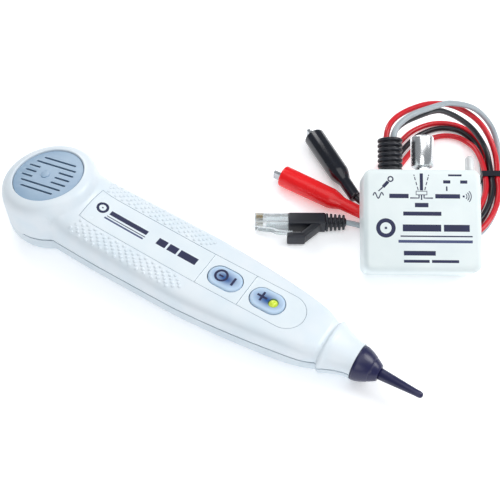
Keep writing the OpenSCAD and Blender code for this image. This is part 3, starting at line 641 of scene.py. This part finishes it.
def long_stations():
    """Where the grip's cross rows lie: close together at the collar of the nose."""
    rows = [SPLIT_X + (168 - SPLIT_X) * i / 84 for i in range(84)]
    rows += [168 + 8 * i / 30 for i in range(30)]
    return rows + [176 + (NOSE_END - 176) * i / 10 for i in range(11)]


def skin(height, seam_z, inner):
    """The probe's outer surface above or below the seam, as one open sheet."""
    bm = bmesh.new()
    turns = patch_turns()
    steps = [1 - (1 - k / 40) ** 2.2 for k in range(41)]
    grid = bmesh.ops.create_grid(bm, x_segments=len(turns) - 1,
                                 y_segments=len(steps) + len(inner) - 1, size=0.5)["verts"]
    columns = sorted(grid, key=lambda v: (round(v.co.x, 5), round(v.co.y, 5)))
    rows = len(steps) + len(inner)
    for i, turn in enumerate(turns):
        c, s = math.cos(turn), math.sin(turn)
        start = inner[-1][0] if inner else 0.0
        reach = edge_reach(turn)
        for j in range(rows):
            if j < len(inner):
                r, lift = inner[j]
                at = height(r * c, r * s) + lift
            else:
                r = start + (reach - start) * steps[j - len(inner)]
                at = height(r * c, r * s)
            columns[i * rows + j].co = (r * c, r * s, at)
    stations = long_stations()
    long_steps = len(stations) - 1
    grid = bmesh.ops.create_grid(bm, x_segments=long_steps, y_segments=len(CROSS) - 1,
                                 size=0.5)["verts"]
    columns = sorted(grid, key=lambda v: (round(v.co.x, 5), round(v.co.y, 5)))
    for i in range(long_steps + 1):
        x = stations[i]
        for j, c in enumerate(CROSS):
            y = c * half_width(x)
            columns[i * len(CROSS) + j].co = (x, y, height(x, y))
    bmesh.ops.remove_doubles(bm, verts=bm.verts, dist=0.002)
    outward(bm)
    lean = sum(f.normal.z * f.calc_area() for f in bm.faces)
    if lean * (seam_z - SEAM + (1 if height is top_height else -1)) < 0:
        bmesh.ops.reverse_faces(bm, faces=bm.faces)
    return bm


def inlay(x0, x1, half, height, above, below, round_end=0.0):
    """A thin closed slab that follows the probe's surface, from x0 to x1."""
    bm = bmesh.new()
    nx = max(8, round((x1 - x0) / 1.2))
    ny = 16
    grid = bmesh.ops.create_grid(bm, x_segments=nx, y_segments=ny, size=0.5)["verts"]
    columns = sorted(grid, key=lambda v: (round(v.co.x, 5), round(v.co.y, 5)))
    for i in range(nx + 1):
        x = x0 + (x1 - x0) * (math.sin(math.pi / 2 * i / nx) if round_end else i / nx)
        past = (x - (x1 - round_end)) / round_end if round_end else -1
        wide = half * (math.sqrt(max(0.0, 1 - past * past)) if past > 0 else 1)
        for j in range(ny + 1):
            y = wide * (2 * j / ny - 1)
            columns[i * (ny + 1) + j].co = (x, y, height(x, y) + above)
    bmesh.ops.remove_doubles(bm, verts=bm.verts, dist=0.002)
    bmesh.ops.dissolve_degenerate(bm, edges=bm.edges, dist=0.001)
    lid = list(bm.faces)
    moved = bmesh.ops.extrude_face_region(bm, geom=lid)
    down = [g for g in moved["geom"] if isinstance(g, bmesh.types.BMVert)]
    bmesh.ops.translate(bm, verts=down, vec=(0, 0, -(above + below)))
    outward(bm)
    return bm


def oval_prism(x, length, width, z0, z1):
    """A closed prism with round ends, long side along X."""
    bm = bmesh.new()
    bmesh.ops.create_circle(bm, cap_ends=True, radius=width / 2, segments=64)
    for v in bm.verts:
        v.co.x += math.copysign((length - width) / 2, v.co.x)
    bmesh.ops.translate(bm, verts=bm.verts, vec=(x, 0, z0))
    made = bmesh.ops.extrude_face_region(bm, geom=list(bm.faces))
    bmesh.ops.translate(bm, verts=[g for g in made["geom"] if isinstance(g, bmesh.types.BMVert)],
                        vec=(0, 0, z1 - z0))
    outward(bm)
    return bm


def bore(x, y, radius, z0, z1):
    bm = bmesh.new()
    lathe(bm, [(0, z0), (radius, z0), (radius, z1), (0, z1)], Matrix.Translation((x, y, 0)), 40)
    return bm


def key_holes():
    return [finish_piece("cut", oval_prism(x, 19.7, 13.0, 14, 30), None, [])
            for x in (POWER_X, VOLUME_X)]


SHELL_SCREWS = [(31, 14), (31, -14), (99, 14), (99, -14), (164.5, 0)]
SHELL_WALL = {"thickness": 1.7 * MM, "offset": -1.0, "use_even_offset": False}


def make_shells():
    rim = [(GRILLE_R, -3.6), (GRILLE_R, -0.7), (GRILLE_R + 0.12, -0.3), (GRILLE_R + 0.5, 0.0)]
    top = finish_piece("top_shell_skin", skin(top_height, SEAM, rim), "probe", [SHELL],
                       ["top_shell"], 50)
    bake(top, [("SOLIDIFY", SHELL_WALL)])
    bed = inlay(NAME_PANEL[0] - PANEL_GAP, VOLUME_PANEL[1] + PANEL_GAP, PANEL_HALF + PANEL_GAP,
                top_height, 4, 0.8, PANEL_HALF + PANEL_GAP)
    carve(top, [finish_piece("cut", bed, None, [])] + key_holes())
    shade(top, 40)
    belly = finish_piece("bottom_shell_skin", skin(belly_height, SEAM, []), "probe", [BELLY],
                         ["bottom_shell"], 50)
    bake(belly, [("SOLIDIFY", SHELL_WALL)])
    door = inlay(36.8, 93.2, 15.15, belly_height, 1.0, 4.0)
    tongue = inlay(92.5, 99.2, 4.0, belly_height, 1.0, 4.0)
    holes = [bore(x, y, 2.8, -2, 6) for x, y in SHELL_SCREWS]
    carve(belly, [finish_piece("cut", m, None, []) for m in [door, tongue] + holes])
    shade(belly, 40)


def make_panels():
    for name, span, round_end in (("name_panel", NAME_PANEL, 0), ("power_panel", POWER_PANEL, 0),
                                  ("volume_panel", VOLUME_PANEL, PANEL_HALF)):
        slab = inlay(*span, PANEL_HALF, top_height, 0.0, 0.75, round_end)
        obj = finish_piece(name + "_inlay", slab, "probe", [PANEL, INK, FINE_INK], [name],
                           30)
        if name != "name_panel":
            carve(obj, key_holes())
        bake(obj, [("BEVEL", {"width": 0.14 * MM, "segments": 2, "limit_method": "ANGLE",
                              "angle_limit": math.radians(50)})])
        shade(obj, 50)


def merge_into(obj, bm, sharp=40):
    """Adds a bmesh in millimetres to a finished piece."""
    bm.transform(TO_METRES)
    extra = bpy.data.meshes.new("extra")
    bm.to_mesh(extra)
    bm.free()
    whole = bmesh.new()
    whole.from_mesh(obj.data)
    whole.from_mesh(extra)
    whole.to_mesh(obj.data)
    whole.free()
    bpy.data.meshes.remove(extra)
    shade(obj, sharp)


def drape(bm, height):
    """Lays flat marks on a surface."""
    for v in bm.verts:
        v.co.z += height(v.co.x, v.co.y)


def bar(bm, x0, x1, y, width, place=WHOLE, material=0):
    """A printed bar between x0 and x1."""
    count = max(1, round((x1 - x0) / 1.5))
    stroke(bm, [(x0 + (x1 - x0) * i / count, y) for i in range(count + 1)], width, place,
           material=material)


def grip_dots():
    """Small domes on both sides of the name panel."""
    bm = bmesh.new()
    for side in (-1, 1):
        for row in range(6):
            y = side * (11.9 + 1.42 * row)
            start = 30.5 + 2.3 * (row % 2) - 4.2 * max(0, row - 1) / 5
            for k in range(15):
                x = start + 4.6 * k
                if x > 97.5 - 1.6 * abs(row - 2) or abs(y) > half_width(x) - 2.4:
                    continue
                step = 0.05
                at = Vector((x, y, top_height(x, y)))
                normal = Vector((top_height(x - step, y) - top_height(x + step, y),
                                 top_height(x, y - step) - top_height(x, y + step),
                                 2 * step)).normalized()
                lie = normal.to_track_quat("Z", "Y").to_matrix().to_4x4()
                bmesh.ops.create_uvsphere(
                    bm, u_segments=12, v_segments=8, radius=0.95,
                    matrix=Matrix.Translation(at) @ lie @ Matrix.Diagonal((1, 1, 0.6, 1)))
    return bm


def name_marks():
    bm = bmesh.new()
    stroke(bm, ring_points((34.6, 1.4), 2.6), 1.5, WHOLE, closed=True, material=1)
    stroke(bm, [(34.2, 1.4), (35.0, 1.4)], 0.8, WHOLE, material=1)
    bar(bm, 39.8, 63.4, 1.3, 2.7, material=1)
    bar(bm, 39.4, 63.8, -1.4, 0.5, material=1)
    bar(bm, 38.8, 63.4, -2.9, 1.0, material=2)
    for x0, x1 in ((70.4, 76.0), (77.2, 82.8), (84.0, 94.6)):
        bar(bm, x0, x1, 0.5, 4.2, material=1)
    drape(bm, top_height)
    return bm


def oval_ring(length, width, d, count=20):
    """Points of an oval with round ends, drawn in by d."""
    radius = width / 2 - d
    points = []
    for start, side in ((-90, 1), (90, -1)):
        for i in range(count + 1):
            t = math.radians(start + 180 * i / count)
            points.append((side * (length - width) / 2 + radius * math.cos(t),
                           radius * math.sin(t)))
    return points


def oval_solid(x, length, width, profile):
    """A closed oval solid from a profile of (drawn in, height)."""
    bm = bmesh.new()
    rings = [oval_ring(length, width, d) for d, _ in profile]
    n, m = len(rings[0]), len(profile)
    grid = bmesh.ops.create_grid(bm, x_segments=n, y_segments=m - 1, size=0.5)["verts"]
    columns = sorted(grid, key=lambda v: (round(v.co.x, 5), round(v.co.y, 5)))
    for i in range(n + 1):
        for j in range(m):
            px, py = rings[j][i % n]
            columns[i * m + j].co = (x + px, py, profile[j][1])
    bmesh.ops.remove_doubles(bm, verts=bm.verts, dist=0.002)
    bmesh.ops.dissolve_degenerate(bm, edges=bm.edges, dist=0.001)
    outward(bm)
    return bm


KEY_L, KEY_W, KEY_Z = 18.9, 12.2, 24.4


def key_top(x):
    """The dished upper surface of the key centred on x."""
    def height(px, py):
        reach = math.hypot(max(abs(px - x) - (KEY_L - KEY_W) / 2, 0), py)
        d = max(0.0, KEY_W / 2 - reach)
        return KEY_Z - 0.02 - 0.55 * min(1.0, d / (KEY_W / 2)) ** 1.4
    return height


def make_key(name, node, body, x):
    top = key_top(x)
    half = KEY_W / 2
    dish = [(d, top(x, half - d)) for d in (half, 5, 4, 3.2, 2.4, 1.7, 1.2)]
    edge = arc((-1.1, KEY_Z - 1.25), 1.1, 75, 0, 6)
    profile = dish + [(-r, z) for r, z in edge] + [
        (0.0, 19.8), (-1.3, 19.8), (-1.3, 18.7), (2.0, 18.6), (half, 18.6)]
    bm = oval_solid(x, KEY_L, KEY_W, profile)
    lathe(bm, [(0, 18.1), (1.5, 18.1), (1.5, 18.8), (0, 18.8)], move(x - 3, 0, 0), 24)
    obj = finish_piece(name, bm, body, [KEYS, INK], [node], 40)
    return obj, top


def make_keys():
    power, top = make_key("power_key_cap", "power_button", "power_key", POWER_X)
    bm = bmesh.new()
    stroke(bm, ring_points((POWER_X - 2.6, 0.4), 3.1), 1.25, WHOLE, closed=True, material=1)
    stroke(bm, [(POWER_X - 3.9, 0.4), (POWER_X - 1.3, 0.4)], 1.0, WHOLE, material=1)
    stroke(bm, [(POWER_X + 4.7, -2.3), (POWER_X + 4.7, 2.7)], 1.3, WHOLE, material=1)
    drape(bm, top)
    merge_into(power, bm)
    volume, top = make_key("volume_key_cap", "volume_button", "volume_key", VOLUME_X)
    carve(volume, [finish_piece("cut", bore(VOLUME_LIGHT_X, 0, 2.7, 10, 30), None, [])])
    bm = bmesh.new()
    middle = (VOLUME_X - 3.3, 0.6)
    stroke(bm, [(middle[0] - 2.8, middle[1]), (middle[0] + 2.8, middle[1])], 1.15, WHOLE,
           material=1)
    stroke(bm, [(middle[0], middle[1] - 2.8), (middle[0], middle[1] + 2.8)], 1.15, WHOLE,
           material=1)
    drape(bm, top)
    merge_into(volume, bm)
    bm = bmesh.new()
    lathe(bm, [(0, 15.4), (2.45, 15.4), (2.45, 22.4)] + arc((0, 22.4), 2.45, 15, 90, 8),
          move(VOLUME_LIGHT_X, 0, 0), 40)
    finish_piece("volume_light_lens", bm, "probe", [LENS], ["volume_light"])


def make_grille():
    slope = move(0, 0, 34.6) @ turn("Y", -RIM_LEAN)
    bm = bmesh.new()
    r = GRILLE_R - 0.15
    lathe(bm, [(0, -1.45), (r, -1.45)] + arc((r - 0.3, -0.3), 0.3, 0, 90, 3) + [(0, 0)],
          slope, 96)
    grille = finish_piece("speaker_grille_plate", bm, "probe", [GRILLE], ["speaker_grille"])
    cutters = []
    for i in range(-3, 4):
        if abs(i) > 1:
            reach = 10.7 if abs(i) == 3 else 13.2
            spans = [(-reach, reach)]
        else:
            spans = [(-15.4, -8), (4.2, 14)]
        for x0, x1 in spans:
            slot_cut = oval_prism((x0 + x1) / 2, x1 - x0, 1.15, -3, 2)
            slot_cut.transform(slope @ turn("Z", 4.4) @ move(0, i * 3.7, 0))
            cutters.append(finish_piece("cut", slot_cut, None, []))
    carve(grille, cutters)
    boss = bmesh.new()
    lathe(boss, [(0, -0.2), (2.6, -0.2)] + arc((2.35, 0.1), 0.25, 0, 90, 3) + [(0, 0.35)],
          slope @ move(-2, 0, 0), 40)
    merge_into(grille, boss)


def make_tip():
    bm = bmesh.new()
    lathe(bm, [(0, -2), (3, -2), (3, -13), (6.2, -13), (6.2, 0.15), (9.0, 0.15),
               (9.25, 0.4), (9.2, 1.6), (8.9, 2.9), (8.35, 4.5), (7.6, 6.2), (6.85, 7.6),
               (6.6, 8.0), (6.35, 8.15), (6.2, 8.35), (6.2, 8.6), (5.9, 9.2), (4.9, 10.9),
               (4.3, 11.8), (4.0, 12.05), (3.6, 12.1), (1.55, 12.1), (1.55, -1), (1.25, -1),
               (1.25, -2), (0, -2)][:-1], nose(NOSE_END), 64)
    finish_piece("tip_holder_cone", bm, "probe", [TIP], ["tip_holder"], 50)
    bm = bmesh.new()
    lathe(bm, [(0, 0), (1.5, 0), (1.5, 12.15), (2.8, 12.15), (3.0, 12.4), (1.75, 31.0),
               (1.72, 33.4)] + arc((0, 33.55), 1.65, 0, 90, 6), nose(NOSE_END), 40)
    finish_piece("probe_tip_rod", bm, "probe", [TIP], ["probe_tip"], 50)


CASE_SPLIT = 6.0
CASE_WALL = 1.9


def case_half(front):
    """The front or the back of the generator's case, as a hollow tray."""
    bm = bmesh.new()
    bmesh.ops.create_cube(bm, size=1, matrix=move(0, CASE_H / 2, CASE_T / 2)
                          @ Matrix.Diagonal((CASE_W, CASE_H, CASE_T, 1)))
    def long_edges(test):
        return [e for e in bm.edges if test(e.verts[0].co, e.verts[1].co)]
    bmesh.ops.bevel(bm, geom=long_edges(lambda a, b: abs(a.z - b.z) > CASE_T / 2), offset=4.5,
                    segments=9, profile=0.5, affect="EDGES", material=-1)
    bmesh.ops.bevel(bm, geom=long_edges(lambda a, b: abs(a.z - b.z) < 0.1), offset=EDGE_R,
                    segments=6, profile=0.5, affect="EDGES", material=-1)
    level = CASE_SPLIT if front else CASE_SPLIT - 0.05
    whole = list(bm.verts) + list(bm.edges) + list(bm.faces)
    bmesh.ops.bisect_plane(bm, geom=whole, plane_co=(0, 0, level), plane_no=(0, 0, 1),
                           clear_inner=front, clear_outer=not front)
    outward(bm)
    if sum(f.normal.z * f.calc_area() for f in bm.faces) * (1 if front else -1) < 0:
        bmesh.ops.reverse_faces(bm, faces=bm.faces)
    bm.transform(CASE)
    name, node = (("generator_front_cover", "generator_front_case") if front
                  else ("generator_back_cover", "generator_back_case"))
    obj = finish_piece(name, bm, "generator", [CASE_ABS, INK, FINE_INK], [node],
                       40)
    bake(obj, [("SOLIDIFY", {"thickness": CASE_WALL * MM, "offset": -1.0})])
    return obj


CASE_SCREWS = [(-25.5, 5.5), (25.5, 5.5), (-25.5, 43), (25.5, 43)]


def case_marks():
    bm = bmesh.new()
    face = CASE @ move(0, 0, CASE_T)

    def line(points, width, closed=False, material=1):
        stroke(bm, points, width, face, closed, material=material)

    # Probe pictogram over a sine wave at the left.
    line(ring_points((-16.7, 48.3), 1.25), 0.7, True)
    line([(-17.9, 47.0), (-20.6, 44.1)], 1.7)
    line([(-20.4, 44.3), (-23.0, 41.9)], 0.6)
    line(wave_points(-25.8, -20.4, 39.6, 1.5, 1.5), 0.6)
    bar(bm, -17.4, -7.4, 39.4, 2.3, face, 1)
    # Toggle pictogram: the lever upright and, dashed, at both sides.
    line([(-0.7, 42.4), (-0.7, 51.4)], 1.7)
    for side in (-1, 1):
        for a, b in ((42.6, 44.3), (45.2, 46.9), (47.8, 49.5), (50.0, 50.7)):
            line([(-0.7 + side * (1.7 + (a - 42.6) * 0.27), a),
                  (-0.7 + side * (1.7 + (b - 42.6) * 0.27), b)], 0.5)
    line([(-3.5, 42.0), (-3.5, 40.1), (2.1, 40.1), (2.1, 42.0)], 0.5, True)
    line([(-6.6, 38.4), (-2.0, 38.4), (-2.0, 40.0)], 0.7)
    line([(5.2, 38.4), (0.6, 38.4), (0.6, 40.0)], 0.7)
    line([(-0.7, 40.0), (-0.7, 37.4)], 0.7)
    # Line marks and the sounding side at the right.
    bar(bm, 13.2, 20.2, 50.5, 1.0, face, 1)
    bar(bm, 10.6, 14.3, 47.0, 1.7, face, 1)
    bar(bm, 19.4, 23.1, 47.0, 1.7, face, 1)
    line([(12.4, 44.6), (12.4, 42.2)], 0.8)
    bar(bm, 6.4, 19.2, 39.4, 2.3, face, 1)
    line([(20.6, 39.4), (21.6, 39.4)], 1.0)
    for r in (1.8, 2.9, 4.0):
        line(ring_points((21.0, 39.4), r, 12, -44, 44), 0.5)
    bar(bm, -4.2, 2.8, 34.7, 2.3, face, 1)
    bar(bm, -10.3, 9.4, 30.2, 2.1, face, 1)
    # A plain ring mark and bars.
    line(ring_points((-19.3, 22.6), 4.0), 2.1, True)
    line([(-19.9, 22.6), (-18.7, 22.6)], 1.2)
    bar(bm, -10.6, 9.2, 22.7, 3.6, face, 1)
    bar(bm, 10.6, 23.9, 22.7, 3.6, face, 1)
    bar(bm, -11.8, 25.3, 18.4, 0.7, face, 1)
    bar(bm, -12.9, 25.3, 15.7, 1.5, face, 2)
    bar(bm, -10.2, 6.2, 9.6, 2.4, face, 1)
    bar(bm, -10.2, 3.0, 5.4, 1.5, face, 1)
    bar(bm, 4.2, 18.1, 5.4, 1.5, face, 1)
    return bm


def make_case():
    front = case_half(True)
    cutters = []
    for a, c, r in ((BOOT_A, PORT_C, 5.15), (CAP_A, PORT_C, 3.25), (LIGHT_A, LIGHT_C, 2.6)):
        bm = bmesh.new()
        lathe(bm, [(0, -8), (r, -8), (r, 12), (0, 12)], port(a, c), 48)
        cutters.append(finish_piece("cut", bm, None, []))
    carve(front, cutters)
    back = case_half(False)
    cutters = []
    for a, b in CASE_SCREWS:
        bm = bmesh.new()
        lathe(bm, [(0, -1), (2.7, -1), (2.7, 3), (0, 3)], CASE @ move(a, b, 0), 32)
        cutters.append(finish_piece("cut", bm, None, []))
    carve(back, cutters)
    for obj in (front, back):
        bake(obj, [("BEVEL", {"width": 0.16 * MM, "segments": 2, "limit_method": "ANGLE",
                              "angle_limit": math.radians(60)})])
        shade(obj, 50)
    merge_into(front, case_marks(), 50)


def make_ports():
    bm = bmesh.new()
    profile = [(0, -4), (6.4, -4), (6.4, -2.15), (5.1, -2.15), (5.1, 0.06)]
    for i in range(7):
        z = 0.06 + i * 2.7
        profile += [(6.25, z), (6.6, z + 0.3), (6.6, z + 1.35), (6.3, z + 1.65)]
        if i < 6:
            profile += [(5.3, z + 1.75), (5.2, z + 2.0), (5.2, z + 2.4), (5.3, z + 2.62)]
    lathe(bm, profile + [(5.6, 17.98), (4.6, 17.9), (0, 17.9)], port(BOOT_A, PORT_C), 56)
    finish_piece("lead_boot_grommet", bm, "generator", [BLACK_PVC], ["lead_boot"],
                 50)
    bm = bmesh.new()
    lathe(bm, [(0, 17.8), (1.05, 17.8), (1.05, 13.7), (5.3, 13.7), (5.3, 3.2), (5.5, 3.0),
               (6.0, 3.0), (6.2, 3.2), (6.2, 18.1)] + arc((4.9, 18.3), 1.3, 10, 78, 6)
          + [(3.0, 19.66), (0, 19.69)], port(CAP_A, PORT_C), 72)
    finish_piece("toggle_cap_shell", bm, "toggle", [CHROME], ["toggle_cap"], 45)
    bm = bmesh.new()
    lathe(bm, [(0, -5.6), (2.5, -5.6), (2.5, 6.8)] + arc((0, 6.8), 2.5, 10, 90, 8),
          port(LIGHT_A, LIGHT_C), 40)
    finish_piece("generator_light_lens", bm, "generator", [LIGHT_CLEAR], ["generator_light"])


def clip_cover(name, node, place, material):
    bm = bmesh.new()
    lathe(bm, [(0, 0), (2.9, 0), (3.3, 0.35), (3.42, 0.9), (3.6, 12.6), (3.75, 13.6),
               (4.3, 15.2), (5.2, 17.9), (5.6, 19.2), (5.78, 20.6), (6.0, 36), (6.15, 51.0),
               (6.1, 51.6), (5.8, 52.0), (5.3, 51.9), (4.95, 51.2), (4.9, 22), (0, 22)],
          place, 64)
    finish_piece(name, bm, "generator", [material], [node], 50)


def plug_cover():
    """The plug's boot: a sleeve with a latch guard and a ribbed strain relief."""
    bm = bmesh.new()
    rounded_block(bm, (-67.8, 33.1, 0.1), (-47.0, 40.9, 8.7), 0.9, BENCH)
    obj = finish_piece("plug_boot_cover", bm, "generator", [BLACK_PVC], ["plug_boot"],
                       45)
    bm = bmesh.new()
    rounded_block(bm, (-70, 33.6, 0.45), (-63.5, 40.4, 8.35), 0, BENCH)
    carve(obj, [finish_piece("cut", bm, None, [])])
    bm = bmesh.new()
    rounded_block(bm, (-68.7, 24.0, 0.7), (-58.6, 27.6, 8.1), 1.0, BENCH)
    rounded_block(bm, (-6.6, -1.9, 0.7), (7.2, 1.9, 8.1), 1.0,
                  BENCH @ move(-55.8, 30.2, 0) @ turn("Z", 43))
    for i in range(5):
        x, half = -47.0 + 2.3 * i, 3.95 - 0.16 * i
        rounded_block(bm, (x, 37 - half, 4.4 - half * 0.9), (x + 1.45, 37 + half,
                      4.4 + half * 0.9), 0.55, BENCH, 3)
    lathe(bm, [(0, 0), (2.9, 0), (2.7, 9), (2.4, 11.9), (2.1, 12.3), (0, 12.3)],
          BENCH @ move(-48, 37, 4.4) @ turn("Y", 90), 32)
    merge_into(obj, bm, 45)


CAD_FINISH = {
    "battery_door": BELLY, "battery_door_screw": STEEL, "shell_screws": STEEL,
    "speaker_gasket": DARK, "speaker_frame": STEEL, "speaker_cone": PAPER,
    "speaker_magnet": STEEL, "keypad_membrane": DARK, "probe_circuit_board": BOARD,
    "tactile_switches": DARK, "probe_battery": DARK, "probe_battery_snap": DARK,
    "tip_contact": GOLD, "tip_spring": STEEL, "generator_screws": STEEL,
    "toggle_housing": DARK, "toggle_bushing": CHROME, "toggle_nut": CHROME,
    "toggle_lever": CHROME, "generator_circuit_board": BOARD, "generator_battery": DARK,
    "generator_battery_snap": DARK, "lead_tie": BLACK_PVC, "red_fixed_jaw": STEEL,
    "red_moving_jaw": STEEL, "red_clip_pin": STEEL, "red_clip_spring": STEEL,
    "black_fixed_jaw": STEEL, "black_moving_jaw": STEEL, "black_clip_pin": STEEL,
    "black_clip_spring": STEEL, "plug_boot": BLACK_PVC, "plug_body": PLUG_CLEAR,
    "plug_contacts": GOLD, "plug_latch": PLUG_CLEAR,
}


def dress_cad():
    """Gives the CAD nodes that show their own materials."""
    for name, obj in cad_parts.items():
        if name in CAD_FINISH:
            obj.data.materials.clear()
            obj.data.materials.append(CAD_FINISH[name])


clip_cover("red_clip_cover", "red_clip_boot", RED_CLIP, RED_PVC)
clip_cover("black_clip_cover", "black_clip_boot", BLACK_CLIP, BLACK_GLOSS)
plug_cover()
make_lead("red_lead", RED_ROUTE, RED_SLEEVE)
make_lead("black_lead", BLACK_ROUTE, BLACK_SLEEVE)
make_lead("grey_lead", GREY_ROUTE, GREY_SLEEVE)

make_shells()
make_panels()
merge_into(scene.objects["top_shell_skin"], grip_dots())
merge_into(scene.objects["name_panel_inlay"], name_marks(), 50)
make_grille()
make_keys()
make_tip()
make_case()
make_ports()
dress_cad()


def make_floor():
    bm = bmesh.new()
    bmesh.ops.create_grid(bm, x_segments=1, y_segments=1, size=6000)
    floor = finish_piece("floor", bm, None, [])
    material, tree, shader, place = new_material("paper_backdrop")
    shader.inputs["Base Color"].default_value = linear("#fbfcfe")
    shader.inputs["Roughness"].default_value = 0.9
    shader.inputs["Emission Color"].default_value = linear("#ffffff")
    shader.inputs["Emission Strength"].default_value = 0.3
    floor.data.materials.append(material)
    floor.location.z = -0.0002


make_floor()
world = bpy.data.worlds.new("studio")
scene.world = world
world.use_nodes = True
world.node_tree.nodes["Background"].inputs["Color"].default_value = linear("#eef4fa")
world.node_tree.nodes["Background"].inputs["Strength"].default_value = 0.27
add_softbox("key_light", (0.75, 0.55, 0.75), (0.1, 0.05, 0), (0.5, 0.5), 6.0)
add_softbox("rim_light", (-0.5, 0.45, 0.55), (0.05, 0.03, 0), (0.4, 0.4), 2.4)
add_softbox("overhead", (0.25, -0.05, 1.2), (0.13, 0.06, 0), (1.2, 1.2), 5.5)
add_softbox("front_card", (0.45, -0.75, 0.5), (0.15, 0.08, 0), (0.5, 0.5), 1.6)
scene.view_settings.view_transform = "Standard"
